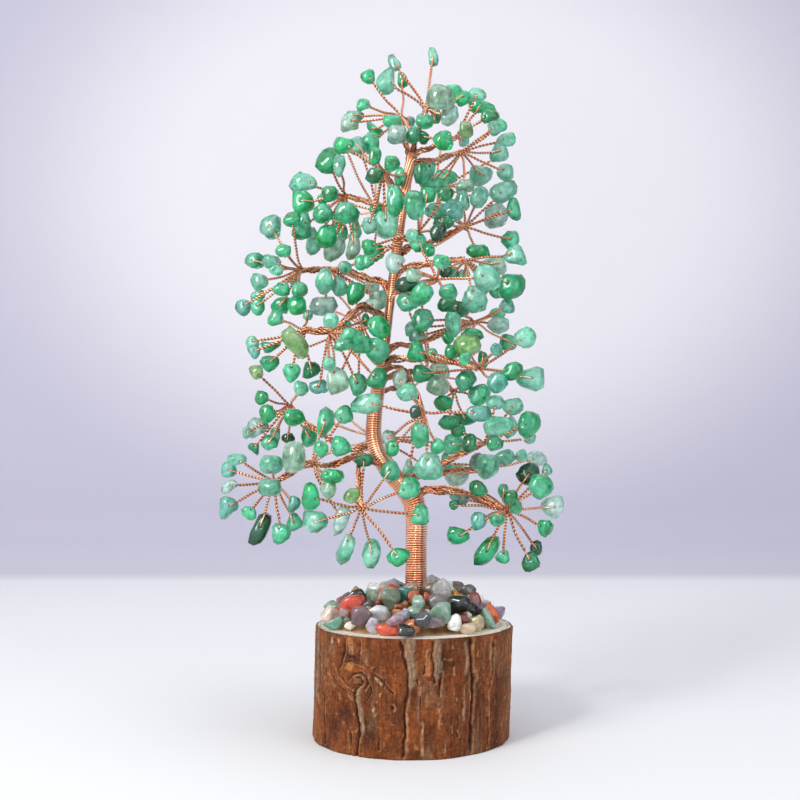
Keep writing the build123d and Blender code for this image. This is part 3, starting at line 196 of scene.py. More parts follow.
# The tones of each mineral's gravel, and the stones whose tone stands out, by the place where they show.
GRAVEL_TONES = {
    "gravel_jasper": ["B8431F", "7A2B16", "C06030"],
    "gravel_aventurine": ["7DA68A", "4F8468", "9ABCA5"],
    "gravel_amethyst": ["AA949E", "76606A", "C9B8C0"],
    "gravel_quartz": ["FAFAF6", "EAEEEA", "FAF2E6"],
    "gravel_citrine": ["D9A24A", "DDBB82", "C8892E"],
    "gravel_obsidian": ["1A1B1E", "2A2D31", "17211D"],
    "gravel_agate": ["B3AFAA", "D2CFCA", "63544A"],
}
GRAVEL_PX = [
    ((330, 614), "D8C2B4"), ((353, 605), "C8401C"), ((388, 630), "D9552A"), ((411, 630), "C4713B"),
    ((435, 578), "6E3224"),
    ((492, 616), "CF5A2C"), ((400, 612), "A8602F"), ((407, 607), "A96A3C"), ((333, 622), "7DB8A0"),
    ((374, 597), "8FA78A"), ((390, 600), "97AD90"), ((404, 594), "4F9C93"), ((418, 605), "A9C6B5"),
    ((440, 619), "A4CDB2"), ((430, 618), "9CC7AC"), ((488, 619), "A6CDB4"), ((360, 616), "8C6C70"),
    ((394, 620), "BFA3B0"), ((374, 623), "D2CDD8"), ((497, 612), "B5A6BC"), ((403, 615), "B9C0D2"),
    ((433, 633), "52334F"), ((345, 616), "C7A19B"), ((378, 613), "E3E6E6"), ((453, 630), "E9EBE9"),
    ((446, 591), "CFE4E2"), ((467, 600), "BFD9D6"), ((455, 599), "D08A1E"), ((477, 621), "E4D9A8"),
    ((467, 629), "DCC9AE"), ((412, 591), "A08468"), ((428, 590), "A38A70"), ((407, 623), "101113"),
    ((444, 609), "141416"), ((423, 619), "3A3C40"), ((458, 617), "3C444C"), ((470, 609), "16241D"),
    ((366, 591), "8E8F8F"), ((395, 584), "A9B3BD"), ((438, 602), "7B7674"), ((467, 592), "7A7471"),
]

# Cracks in the bark and the shadows under its folds round the knot, as they show, all painted dark as shade:
# (half width in px, run of (px, py)).
CRACKS_PX = [
    (0.8, [(320, 630), (319, 655), (319.5, 685), (324, 697), (324, 743)]),
    (0.9, [(345, 639), (344, 650), (341, 659), (339.5, 667)]),
    (0.6, [(360, 642), (360, 657)]),
    (0.8, [(349, 679), (353, 674), (360, 673), (365, 677), (367, 684), (364, 689)]),
    (0.7, [(356, 677), (360.5, 678), (362, 682), (360, 686), (356.5, 686)]),
    (0.4, [(329, 664), (333, 676), (340, 687), (350, 695)]),
    (0.35, [(338, 668), (342, 678), (348, 686), (355, 690)]),
    (0.35, [(342, 663), (350, 661), (360, 662), (369, 668)]),
    (0.35, [(370, 684), (371, 693), (366, 701)]),
    (0.5, [(323, 671.5), (326.5, 675.5)]),
    (0.9, [(359, 685), (354.5, 690), (353.5, 700), (356, 712), (358, 725), (358.5, 734), (357, 740), (356, 757)]),
    (0.6, [(350, 729), (351, 738), (349.5, 757)]),
    (0.6, [(374, 675.5), (380, 679), (386, 686), (393.5, 693.5)]),
    (1.1, [(391.5, 708), (392.5, 709)]),
    (0.9, [(401, 642), (404.5, 660), (407, 678), (406.5, 686), (407, 700), (405, 715), (404, 735), (402, 757)]),
    (0.6, [(418, 680), (418.5, 684)]),
    (0.7, [(432.5, 642), (432, 655), (434, 670), (434.5, 683)]),
    (0.6, [(425, 666), (424, 674)]),
    (0.7, [(441.5, 674), (440, 682), (439.5, 696)]),
    (1.2, [(472, 640), (471.5, 655), (472.5, 666), (473.5, 678), (473.5, 692), (471.5, 706), (471, 720),
           (471.5, 740), (471.5, 750)]),
    (0.8, [(494, 643), (494, 658), (493, 672), (490.5, 686)]),
    (0.7, [(488.5, 718), (489, 747)]),
]
# Paler strips, flakes and specks: (tone, half width in px, run of (px, py)).
STRIPS_PX = [
    ("tan", 2.6, [(350, 640), (350, 652)]), ("pale", 2.0, [(331, 639), (331, 641)]),
    ("pale", 1.6, [(337.5, 639), (337.5, 641)]), ("orange", 3.2, [(347.5, 667), (350, 667)]),
    ("tan", 0.6, [(334, 664), (338, 676), (345, 686), (354, 692)]),
    ("tan", 0.6, [(346, 666), (355, 665), (364, 668)]),
    ("tan", 1.6, [(333, 684), (334, 686)]), ("tan", 1.6, [(339, 695), (340, 698)]),
    ("tan", 1.4, [(348, 694), (349, 697)]), ("tan", 1.3, [(352, 698), (352, 700)]),
    ("greytan", 2.2, [(358, 688), (357, 700), (360, 715), (361.5, 733)]),
    ("tan", 0.8, [(348.5, 731), (349, 752)]), ("pale", 1.0, [(375, 678), (381, 685)]),
    ("pale", 1.0, [(373, 709), (373, 711)]), ("pale", 0.9, [(376.5, 714), (376.5, 716)]),
    ("pale", 0.8, [(379, 694.5), (379, 696.5)]), ("pale", 0.8, [(453.7, 646), (453.7, 648)]),
    ("pale", 0.8, [(456.5, 699), (456.5, 701)]), ("greytan", 4.2, [(410.5, 642), (410.5, 684)]),
    ("grey", 0.9, [(419, 688), (419, 725)]), ("tan", 0.9, [(407, 705), (407, 753)]),
    ("tan", 1.5, [(422, 730), (422, 755)]), ("greytan", 3.6, [(438, 642), (438, 675)]),
    ("tan", 1.7, [(428, 650), (428, 675)]), ("tan", 0.8, [(440, 710), (440, 728)]),
    ("greytan", 1.8, [(467, 643), (467, 674)]), ("greytan", 0.9, [(464.5, 685), (464.5, 720)]),
    ("tan", 0.8, [(470, 674), (470, 713)]), ("tan", 1.0, [(489.5, 690), (489.5, 715)]),
    ("tan", 1.5, [(491.5, 638), (491.5, 678)]),
]
# The crack tone is painted shade deep in each crack; the crack edge tone is a painted highlight on one lip.
BARK_TONES = {
    "tan": "B98458", "pale": "CDA77C", "orange": "D9954A", "grey": "8C7B6A", "greytan": "A08A70",
    "knot": "A8602E", "warm": "B07A4A", "weathered": "9A7E60", "crack": "24150E", "crack_edge_highlight": "B98A60",
    "underside": "5A3826", "sawn_edge": "6B4028", "sapwood": "FBF3E2",
}
# The knot's middle, its reach in millimetres, how much longer it is upwards, and how far the grain turns round it.
KNOT_PX = (354, 678)
KNOT_REACH = 4.2
KNOT_STRETCH = 1.3
KNOT_SWIRL = 2.2
# Where the long cracks behind stand, in degrees round, how many of them have a strip beside them, and how many
# short marks there are all round.
BACK_CRACKS_DEG = [72, 88, 107, 131, 148, 163, 190, 204, 228, 247, 262, 286]
STRIP_CHANCE = 0.75
SHORT_MARKS = 80
# The bark's layers of noise: the cells of each round the stump and up it, and its seed.
BARK_LAYERS = {
    "bends": ((90, 14), 1), "wavers": ((260, 40), 2), "plates": ((46, 5), 3), "streaks": ((330, 9), 4),
    "fibres": ((620, 22), 5), "warmth": ((12, 3), 7), "patches": ((34, 4), 8), "stripes": ((240, 7), 9),
    "broad": ((19, 4), 10),
}
FLAKES = ((190, 34), 6)
# The glue's waves in the same way, and their depth in millimetres.
GLUE_WAVES = (((22, 6), 21), ((60, 14), 22))
WAVE_DEPTH = 0.7

# The stage, in metres: half its width, where the floor starts and the wall stands, the wall's height, and the
# radius of the bend between them. Then the place, size, share of the key power and colour of each lamp.
STAGE_HALF, FLOOR_START, WALL_DEPTH, WALL_HEIGHT, BEND_RADIUS = 2.4, -0.9, 0.64, 1.6, 0.06
LAMPS = {
    "key": ((-0.76, -0.74, 0.6), 0.5, 0.8, "FFFDF8"),
    "glint": ((-0.6, -0.8, 0.75), 0.14, 0.33, "FFFFFF"),
    "fill": ((0.75, -0.7, 0.35), 0.7, 0.3, "F4F6FF"),
    "top": ((0.2, -0.1, 1.1), 0.6, 0.2, "FFFFFF"),
}
LAMPS_AIM = np.array([0.0, 0.0, 0.13])
# The room's light: its strength on matt things and as the camera sees it, and on what mirrors or lets light through
# its strength away from the window and towards it.
WINDOW_WAY = (-0.6, -0.55, 0.58)
ROOM_STRENGTH, SEEN_STRENGTH = 0.64, 0.85
WINDOW_STRENGTHS = {"To Min": 0.28, "To Max": 1.9}


def linear(hex_colour):
    """An sRGB colour as the linear values that Blender works in."""
    values = np.array([int(hex_colour[i:i + 2], 16) for i in (0, 2, 4)]) / 255
    return np.where(values <= 0.04045, values / 12.92, ((values + 0.055) / 1.055) ** 2.4)


def rgba(hex_colour):
    return (*linear(hex_colour), 1.0)


def place(px, py, depth):
    """The point that shows at a pixel, at a depth behind the trunk's plane: it lies on the pixel's ray."""
    reach = (VIEW_DISTANCE + depth) / FOCAL_PX
    side = (px - EYE_PX[0]) * reach - (AXIS_PX - EYE_PX[0]) * PIXEL
    rise = (EYE_PX[1] - py) * reach + (STUMP_TOP_PX - EYE_PX[1]) * PIXEL
    return np.array([side, depth, STUMP_HEIGHT + rise])


def shown_at(point):
    """The pixel that a point shows at, the other way round."""
    reach = (VIEW_DISTANCE + point[1]) / FOCAL_PX
    return np.array([EYE_PX[0] + (point[0] + (AXIS_PX - EYE_PX[0]) * PIXEL) / reach,
                     EYE_PX[1] - (point[2] - STUMP_HEIGHT - (STUMP_TOP_PX - EYE_PX[1]) * PIXEL) / reach])


def unit(vectors):
    return vectors / np.linalg.norm(vectors, axis=-1, keepdims=True)


def hermite(knots, values, at):
    """A smooth curve through values at knots: on each span, the cubic with both ends' values and slopes."""
    slopes = np.gradient(values, knots, axis=0)
    i = np.clip(np.searchsorted(knots, at) - 1, 0, len(knots) - 2)
    span = knots[i + 1] - knots[i]
    t = (at - knots[i]) / span
    shape = (slice(None),) + (None,) * (values.ndim - 1)
    t, span = t[shape], span[shape]
    return ((2 * t**3 - 3 * t**2 + 1) * values[i] + (t**3 - 2 * t**2 + t) * span * slopes[i]
            + (3 * t**2 - 2 * t**3) * values[i + 1] + (t**3 - t**2) * span * slopes[i + 1])


def walk(points):
    """How far along a run of points each of them lies."""
    return np.concatenate([[0.0], np.cumsum(np.linalg.norm(np.diff(points, axis=0), axis=1))])


def smooth_line(points, count):
    """Points spaced along a smooth curve through the given ones, its knots at the chords' lengths."""
    knots = walk(points)
    fine = hermite(knots, np.array(points), np.linspace(0, knots[-1], 8 * count))
    walked = walk(fine)
    stops = np.linspace(0, walked[-1], count)
    return np.stack([np.interp(stops, walked, fine[:, k]) for k in range(3)], axis=1), stops


def normals_to(along, facing):
    """Two normals of a line at each point, the first being the facing made square to the line."""
    first = unit(facing - along * np.sum(along * facing, axis=1, keepdims=True))
    return first, np.cross(along, first)


def turned(turn, first, second):
    """A direction turned from one towards another square to it: cos of the turn of the first and sin of it of the
    second."""
    return np.cos(turn)[..., None] * first + np.sin(turn)[..., None] * second


# The same line as heights, sides and radii in millimetres.
TRUNK_TABLE = np.array([(place(px, py, 0)[2], place(px, py, 0)[0], half * PIXEL) for px, py, half in TRUNK_PX])


def trunk_at(heights):
    """The trunk's middle, its direction and its radius over the winding, at heights."""
    heights = np.atleast_1d(np.asarray(heights, dtype=float))
    knots, sides, radii = TRUNK_TABLE.T
    inside = np.clip(heights, STUMP_HEIGHT, knots[-1])
    side, radius = hermite(knots, sides, inside), hermite(knots, radii, inside)
    slope = (hermite(knots, sides, inside + SLOPE_STEP) - hermite(knots, sides, inside - SLOPE_STEP)) / (2 * SLOPE_STEP)
    middle = np.stack([side, np.zeros_like(side), heights], axis=1)
    along = unit(np.stack([slope, np.zeros_like(side), np.ones_like(side)], axis=1))
    return middle, along, radius


def beside(along):
    """The direction square to the trunk's in the photograph's plane."""
    return np.stack([along[:, 2], np.zeros(len(along)), -along[:, 0]], axis=1)


def value_noise(u, v, cells, seed):
    """Soft noise from 0 to 1: random values on a grid that closes round u, eased between its points."""
    across, up = cells
    values = np.random.default_rng(seed).random((up + 2, across))
    u, v = (u % 1.0) * across, np.clip(v, 0, 1) * up
    i, j = np.floor(u).astype(int), np.floor(v).astype(int)
    s, t = u - i, v - j
    s, t = s * s * (3 - 2 * s), t * t * (3 - 2 * t)
    i, i2, j2 = i % across, (i + 1) % across, j + 1
    return (values[j, i] * (1 - s) + values[j, i2] * s) * (1 - t) + (values[j2, i] * (1 - s) + values[j2, i2] * s) * t


class Surface:
    """Gathers grids of points into one mesh, each point with a colour and a share of painted rim shade."""

    def __init__(self):
        self.points, self.tones, self.marks, self.faces = [], [], [], []
        self.count = 0

    def grid(self, points, tone=(1, 1, 1), rim_shade=0.0, close_rows=False, close_columns=True, ends=False):
        """Adds a grid of rows and columns. Each face joins two neighbours in a row to the two above them, and
        ends closes the first and last row with one face each."""
        rows, columns = points.shape[:2]
        index = self.count + np.arange(rows * columns).reshape(rows, columns)
        low = index if close_rows else index[:-1]
        high = np.roll(index, -1, axis=0) if close_rows else index[1:]
        if close_columns:
            faces = np.stack([low, np.roll(low, -1, axis=1), np.roll(high, -1, axis=1), high], axis=-1)
        else:
            faces = np.stack([low[:, :-1], low[:, 1:], high[:, 1:], high[:, :-1]], axis=-1)
        self.faces.append(faces.reshape(-1, 4))
        if ends:
            self.faces += [index[:1, ::-1], index[-1:]]
        self.points.append(points.reshape(-1, 3))
        self.tones.append(np.broadcast_to(np.asarray(tone, dtype=float), points.shape).reshape(-1, 3))
        self.marks.append(np.broadcast_to(np.asarray(rim_shade, dtype=float), points.shape[:2]).reshape(-1))
        self.count += rows * columns

    def tube(self, line, radius, sides, facing, tone=(1, 1, 1), closed=False, shade_side=None, depth=0.0, both=False):
        """Adds a round tube: each ring is the line's point plus the radius times cos of one normal and sin of
        the other, the first normal being the facing made square to the line. Painted shade darkens its tone by the
        depth where it faces the shaded direction, half as much on its flanks, or else both ways along that direction."""
        if closed:
            along = unit(np.roll(line, -1, axis=0) - np.roll(line, 1, axis=0))
        else:
            along = unit(np.gradient(line, axis=0))
        first, second = normals_to(along, facing)
        angles = np.arange(sides) * TURN / sides
        radius = np.broadcast_to(np.asarray(radius, dtype=float), (len(line),))
        ring = turned(angles, first[:, None], second[:, None])
        tone = np.broadcast_to(np.asarray(tone, dtype=float), ring.shape)
        if shade_side is not None:
            shade_share = np.sum(ring * np.broadcast_to(shade_side, line.shape)[:, None], axis=-1)
            shade_share = np.abs(shade_share) if both else np.clip(TURNED_SHARE * shade_share + FLANK_SHARE, 0, 1)
            # Painted shade: the tone is darkened where the ring faces the shaded side.
            tone = tone * np.clip(1 - depth * shade_share[..., None] * CREVICE_SHADE_TINT, 0, 1)
        self.grid(line[:, None] + ring * radius[:, None, None], tone, close_rows=closed, ends=not closed)


def make_piece(name, surface, material, slot, *nodes):
    """Turns a surface into a mesh object that rides on the part and stands for its solids."""
    points = np.concatenate(surface.points) * MM
    mesh = bpy.data.meshes.new(name)
    mesh.vertices.add(len(points))
    mesh.vertices.foreach_set("co", points.ravel())
    sizes = np.concatenate([np.full(len(faces), faces.shape[1]) for faces in surface.faces])
    corners = np.concatenate([faces.ravel() for faces in surface.faces])
    mesh.loops.add(len(corners))
    mesh.loops.foreach_set("vertex_index", corners.astype(np.int32))
    mesh.polygons.add(len(sizes))
    mesh.polygons.foreach_set("loop_start", np.concatenate([[0], np.cumsum(sizes)[:-1]]).astype(np.int32))
    mesh.polygons.foreach_set("use_smooth", np.ones(len(sizes), dtype=bool))
    mesh.update(calc_edges=True)
    if mesh.validate():
        raise RuntimeError(f"{name} has a broken face")
    tones = np.concatenate([np.concatenate(surface.tones), np.ones((len(points), 1))], axis=1)
    mesh.attributes.new("tone", "FLOAT_COLOR", "POINT").data.foreach_set("color", tones.ravel())
    mesh.attributes.new("rim_shade", "FLOAT", "POINT").data.foreach_set("value", np.concatenate(surface.marks))
    mesh.materials.append(material)
    thing = bpy.data.objects.new(name, mesh)
    bpy.context.scene.collection.objects.link(thing)
    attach(thing, "root")
    if nodes:
        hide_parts(*nodes)
    return thing


# Materials


def add(tree, kind, inputs=None, stops=None, **settings):
    """Adds a node with its settings, its inputs set or linked, and a ramp's stops, each a position and either an
    sRGB colour or a factor."""
    node = tree.nodes.new(kind)
    for name, value in settings.items():
        setattr(node, name, value)
    for key, value in (inputs or {}).items():
        if isinstance(value, bpy.types.NodeSocket):
            tree.links.new(value, node.inputs[key])
        else:
            node.inputs[key].default_value = value
    if stops:
        while len(node.color_ramp.elements) < len(stops):
            node.color_ramp.elements.new(1.0)
        for element, (position, colour) in zip(node.color_ramp.elements, stops):
            element.position = position
            element.color = rgba(colour) if isinstance(colour, str) else (colour, colour, colour, 1.0)
    return node


def new_material(name):
    material = bpy.data.materials.new(name)
    material.use_nodes = True
    tree = material.node_tree
    tree.nodes.clear()
    return material, tree, add(tree, "ShaderNodeTexCoord").outputs["Object"]


MULTIPLY = {"data_type": "RGBA", "blend_type": "MULTIPLY"}


def copper_material(name, roughness, tones, coat):
    """Soft copper craft wire, drawn bright and lacquered thinly: orange metal with paler and browner lengths.
    It gives the eye small warm glints that break along each twist, the brightest of them white."""
    material, tree, place_on = new_material(name)
    # The tone holds each wire's own tone together with painted shade in its crevices, and painted shade and highlight
    # at a stem's crossings.
    tone = add(tree, "ShaderNodeAttribute", attribute_name="tone").outputs["Color"]
    lengths = add(tree, "ShaderNodeTexNoise", {"Vector": place_on, "Scale": 1 / (9 * MM), "Detail": 3.0})
    colour = add(tree, "ShaderNodeValToRGB", {"Fac": lengths.outputs["Fac"]}, stops=list(zip((0.3, 0.5, 0.72), tones)))
    mixed = add(tree, "ShaderNodeMix", {0: 1.0, 6: colour.outputs["Color"], 7: tone}, **MULTIPLY)
    scratches = add(tree, "ShaderNodeTexNoise", {"Vector": place_on, "Scale": 1 / (0.8 * MM), "Detail": 2.0})
    rough = add(tree, "ShaderNodeMapRange", {
        "Value": scratches.outputs["Fac"], "To Min": roughness - 0.06, "To Max": roughness + 0.12})
    shader = add(tree, "ShaderNodeBsdfPrincipled", {
        "Base Color": mixed.outputs[2], "Metallic": 1.0, "Roughness": rough.outputs["Result"],
        "Coat Weight": coat, "Coat Roughness": 0.12})
    add(tree, "ShaderNodeOutputMaterial", {"Surface": shader.outputs[0]})
    return material


def stone_material(name, roughness, cloud_mm, cloud, body, glow=0.3, clear=0.0, ior=1.54, coat=0.3, depth=1.2,
                   specks=0.0):
    """Tumbled stone: the piece's own tone, clouded by noise, lighter and milky in its middle and darker and fuller
    towards its thin rim, as painted light and shade, with dark grains where it has specks, under a gloss. It gives
    the eye a milky body with small hard highlights."""
    material, tree, place_on = new_material(name)
    tone = add(tree, "ShaderNodeAttribute", attribute_name="tone").outputs["Color"]
    # The rim share drives painted light and shade: lighter in the middle, darker and fuller towards the rim.
    rim = add(tree, "ShaderNodeAttribute", attribute_name="rim_shade").outputs["Fac"]
    clouds = add(tree, "ShaderNodeTexNoise", {
        "Vector": place_on, "Scale": 1 / (cloud_mm * MM), "Detail": 4.0, "Roughness": 0.6, "Distortion": 0.6})
    spread = add(tree, "ShaderNodeValToRGB", {"Fac": clouds.outputs["Fac"]},
                 stops=[(0.3, 1 - cloud), (0.52, 1.0), (0.75, 1 + cloud)])
    clouded = add(tree, "ShaderNodeMix", {0: 1.0, 6: tone, 7: spread.outputs["Color"]}, **MULTIPLY)
    full = add(tree, "ShaderNodeGamma", {"Color": clouded.outputs[2], "Gamma": 1.9})
    milky = add(tree, "ShaderNodeGamma", {"Color": clouded.outputs[2], "Gamma": 0.88})
    rim_shaded_tone = add(tree, "ShaderNodeMix", {0: rim, 6: milky.outputs["Color"], 7: full.outputs["Color"]},
                 data_type="RGBA")
    fine = add(tree, "ShaderNodeTexNoise", {"Vector": place_on, "Scale": 1 / (0.5 * MM), "Detail": 2.0})
    grains = add(tree, "ShaderNodeMapRange", {
        "Value": fine.outputs["Fac"], "From Min": 0.62, "From Max": 0.72, "To Min": 0.0, "To Max": specks})
    specked = add(tree, "ShaderNodeMix", {0: grains.outputs["Result"], 6: rim_shaded_tone.outputs[2], 7: rgba("5A5653")},
                  data_type="RGBA")
    dents = add(tree, "ShaderNodeBump", {"Height": clouds.outputs["Fac"], "Strength": 0.25, "Distance": 0.25 * MM})
    shader = add(tree, "ShaderNodeBsdfPrincipled", {
        "Base Color": specked.outputs[2], "Roughness": roughness, "IOR": ior, "Subsurface Weight": glow,
        "Subsurface Radius": body, "Subsurface Scale": depth * MM, "Transmission Weight": clear,
        "Coat Weight": coat, "Coat Roughness": 0.05, "Normal": dents.outputs["Normal"]})
    add(tree, "ShaderNodeOutputMaterial", {"Surface": shader.outputs[0]})
    return material


def bark_material():
    """Thin rough bark, unvarnished: the piece's own tones with upright fibres 0.7 mm apart and scales of 1.6 mm. It
    gives the eye a dry matt surface that breaks into threads."""
    material, tree, place_on = new_material("rough_thin_bark")
    tone = add(tree, "ShaderNodeAttribute", attribute_name="tone").outputs["Color"]
    upright = add(tree, "ShaderNodeMapping", {"Vector": place_on, "Scale": (1.0, 1.0, 0.16)})
    fibres = add(tree, "ShaderNodeTexNoise", {
        "Vector": upright.outputs["Vector"], "Scale": 1 / (0.7 * MM), "Detail": 6.0, "Roughness": 0.65})
    shade = add(tree, "ShaderNodeValToRGB", {"Fac": fibres.outputs["Fac"]},
                stops=[(0.34, 0.6), (0.5, 0.97), (0.68, 1.3)])
    threads = add(tree, "ShaderNodeMix", {0: 1.0, 6: tone, 7: shade.outputs["Color"]}, **MULTIPLY)
    scales = add(tree, "ShaderNodeTexNoise", {
        "Vector": place_on, "Scale": 1 / (1.6 * MM), "Detail": 5.0, "Roughness": 0.7, "Distortion": 0.8})
    patchy = add(tree, "ShaderNodeValToRGB", {"Fac": scales.outputs["Fac"]},
                 stops=[(0.34, 0.5), (0.5, 1.0), (0.64, 1.45)])
    coloured = add(tree, "ShaderNodeMix", {0: 1.0, 6: threads.outputs[2], 7: patchy.outputs["Color"]}, **MULTIPLY)
    height = add(tree, "ShaderNodeMath", {0: fibres.outputs["Fac"], 1: scales.outputs["Fac"]}, operation="ADD")
    ridges = add(tree, "ShaderNodeBump", {"Height": height.outputs[0], "Strength": 0.8, "Distance": 0.6 * MM})
    shader = add(tree, "ShaderNodeBsdfPrincipled", {
        "Base Color": coloured.outputs[2], "Roughness": 0.75, "Normal": ridges.outputs["Normal"],
        "Specular IOR Level": 0.2})
    add(tree, "ShaderNodeOutputMaterial", {"Surface": shader.outputs[0]})
    return material


def end_grain_material():
    """Sawn end grain of pale wood: cream with faint yearly rings 1.3 mm apart and open pores. It gives the eye a
    dry, light ring at the stump's rim."""
    material, tree, place_on = new_material("sawn_end_grain")
    rings = add(tree, "ShaderNodeTexWave", {
        "Vector": place_on, "Scale": 1 / (TURN * YEAR_RING * MM), "Distortion": 2.5, "Detail": 3.0,
        "Detail Scale": 1.5}, wave_type="RINGS", rings_direction="Z")
    colour = add(tree, "ShaderNodeValToRGB", {"Fac": rings.outputs["Fac"]}, stops=[(0.1, "EBDDC2"), (0.7, "FBF6EA")])
    pores = add(tree, "ShaderNodeTexNoise", {"Vector": place_on, "Scale": 1 / (0.6 * MM), "Detail": 3.0})
    shade = add(tree, "ShaderNodeValToRGB", {"Fac": pores.outputs["Fac"]}, stops=[(0.35, 0.88), (0.55, 1.0)])
    mixed = add(tree, "ShaderNodeMix", {0: 1.0, 6: colour.outputs["Color"], 7: shade.outputs["Color"]}, **MULTIPLY)
    bump = add(tree, "ShaderNodeBump", {"Height": pores.outputs["Fac"], "Strength": 0.5, "Distance": 0.2 * MM})
    shader = add(tree, "ShaderNodeBsdfPrincipled", {
        "Base Color": mixed.outputs[2], "Roughness": 0.8, "Normal": bump.outputs["Normal"]})
    add(tree, "ShaderNodeOutputMaterial", {"Surface": shader.outputs[0]})
    return material


def glue_material():
    """Clear amber glue, poured and set glossy: a deep honey colour with paler pools. It gives the eye wet glints
    between the stones."""
    material, tree, place_on = new_material("clear_amber_glue")
    pools = add(tree, "ShaderNodeTexNoise", {"Vector": place_on, "Scale": 1 / (6 * MM), "Detail": 3.0})
    colour = add(tree, "ShaderNodeValToRGB", {"Fac": pools.outputs["Fac"]},
                 stops=[(0.3, "75502E"), (0.55, "B4895A"), (0.75, "E2CBA8")])
    waves = add(tree, "ShaderNodeBump", {"Height": pools.outputs["Fac"], "Strength": 0.4, "Distance": 0.8 * MM})
    shader = add(tree, "ShaderNodeBsdfPrincipled", {
        "Base Color": colour.outputs["Color"], "Roughness": 0.1, "IOR": 1.5, "Coat Weight": 1.0,
        "Coat Roughness": 0.04, "Subsurface Weight": 0.3, "Subsurface Radius": (1.0, 0.5, 0.2),
        "Subsurface Scale": 2 * MM, "Normal": waves.outputs["Normal"]})
    add(tree, "ShaderNodeOutputMaterial", {"Surface": shader.outputs[0]})
    return material


# The stones' finishes: name, roughness, the clouds' size in mm and their depth, how far red, green and blue light
# run in the stone, and what else differs from plain tumbled stone.
STONES = {
    "aventurine": ("tumbled_aventurine", 0.08, 2.2, 0.4, (0.5, 1.0, 0.75),
                   {"glow": 0.85, "clear": 0.45, "coat": 0.1, "depth": 1.1}),
    "gravel_aventurine": ("tumbled_pale_aventurine", 0.14, 2.2, 0.35, (0.6, 1.0, 0.8), {"clear": 0.3}),
    "gravel_jasper": ("tumbled_red_jasper", 0.18, 2.0, 0.4, (1.0, 0.4, 0.25), {"glow": 0.15}),
    "gravel_amethyst": ("tumbled_amethyst", 0.1, 2.2, 0.4, (0.9, 0.6, 1.0), {"clear": 0.45}),
    "gravel_quartz": ("tumbled_clear_quartz", 0.08, 2.4, 0.3, (1.0, 1.0, 1.0), {"clear": 0.25}),
    "gravel_citrine": ("tumbled_citrine", 0.1, 2.5, 0.25, (1.0, 0.7, 0.3), {"clear": 0.3}),
    "gravel_obsidian": ("tumbled_obsidian", 0.06, 3.0, 0.3, (0.2, 0.2, 0.2), {"glow": 0.0, "ior": 1.5}),
    "gravel_agate": ("tumbled_grey_agate", 0.15, 1.4, 0.35, (0.8, 0.8, 0.8), {"specks": 0.6}),
}
MATERIALS = {}


def prepare_materials():
    """Makes each finish once."""
    if MATERIALS:
        return
    MATERIALS["copper"] = copper_material("lacquered_copper_wire", 0.22, ("C87A4E", "E9A278", "F9CAA4"), 0.8)
    MATERIALS["winding"] = copper_material("lacquered_copper_winding", 0.15, ("D0865C", "EBA984", "FBD2B4"), 1.0)
    for key, (name, *finish, more) in STONES.items():
        MATERIALS[key] = stone_material(name, *finish, **more)
    MATERIALS.update(bark=bark_material(), wood=end_grain_material(), glue=glue_material())


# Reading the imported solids, and rounding their stones

# Normals that are the same in these steps are one plane's.
SAME_WAY = 0.005

# How chips differ, each drawn between two shares: the power of the superellipse that blunts the outline, more for
# a chip longer than 1.3 times its breadth, the waves round it, its faces' flatness, and how its breadth and
# thickness change towards its far end. Its bend is drawn both ways.
BLUNTNESS = (2.1, 2.7)
LONG_CHIP = 1.3
LONG_BLUNTNESS = 1.2
TWO_WAVE_SHARES = (0, 0.1)
THREE_WAVE_SHARES = (0.03, 0.14)
RIM_SHARES = (0.1, 0.5)
BREADTH_SHARES = (-0.15, 0.45)
THICKNESS_SHARES = (-0.3, 0.25)
BEND_SHARE = 0.18
MOST_OFF_CENTRE = 0.75

# A hole's lip and how far its mouth is let in, as shares of its radius.
LIP_WIDTH = 1.45
MOUTH_SHARE = 0.35

# How gravel is broken: how many planes cut a stone, how far out they lie as a share of its reach, and how its
# breadth and thickness taper.
CUTS = 8
CUT_SHARES = (0.5, 0.85)
TAPER_SHARES = (-0.5, 0.5)


def separate_solids(node):
    """A node's solids, each as its points in millimetres and its triangles. Corners that fall together are one
    point, and points joined by triangles take the least number among them until none changes."""
    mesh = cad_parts[node].data
    corners = np.empty(3 * len(mesh.vertices))
    mesh.vertices.foreach_get("co", corners)
    corners = corners.reshape(-1, 3) / MM
    triangles = np.empty(len(mesh.loops), dtype=np.int32)
    mesh.loops.foreach_get("vertex_index", triangles)
    steps = np.round(corners / WELD).astype(np.int64)
    steps -= steps.min(axis=0)
    size = steps.max(axis=0) + 1
    keys = (steps[:, 0] * size[1] + steps[:, 1]) * size[2] + steps[:, 2]
    _, first, inverse = np.unique(keys, return_index=True, return_inverse=True)
    points, triangles = corners[first], inverse.ravel()[triangles].reshape(-1, 3)
    label = np.arange(len(points))
    while True:
        least = label[triangles].min(axis=1)
        changed = label.copy()
        np.minimum.at(changed, triangles.ravel(), np.repeat(least, 3))
        changed = changed[changed]
        if np.array_equal(changed, label):
            break
        label = changed
    solids = []
    of_triangle = label[triangles[:, 0]]
    order = np.argsort(of_triangle, kind="stable")
    cuts = np.flatnonzero(np.diff(of_triangle[order])) + 1
    for group in np.split(order, cuts):
        used, numbered = np.unique(triangles[group], return_inverse=True)
        solids.append((points[used], numbered.reshape(-1, 3)))
    return solids


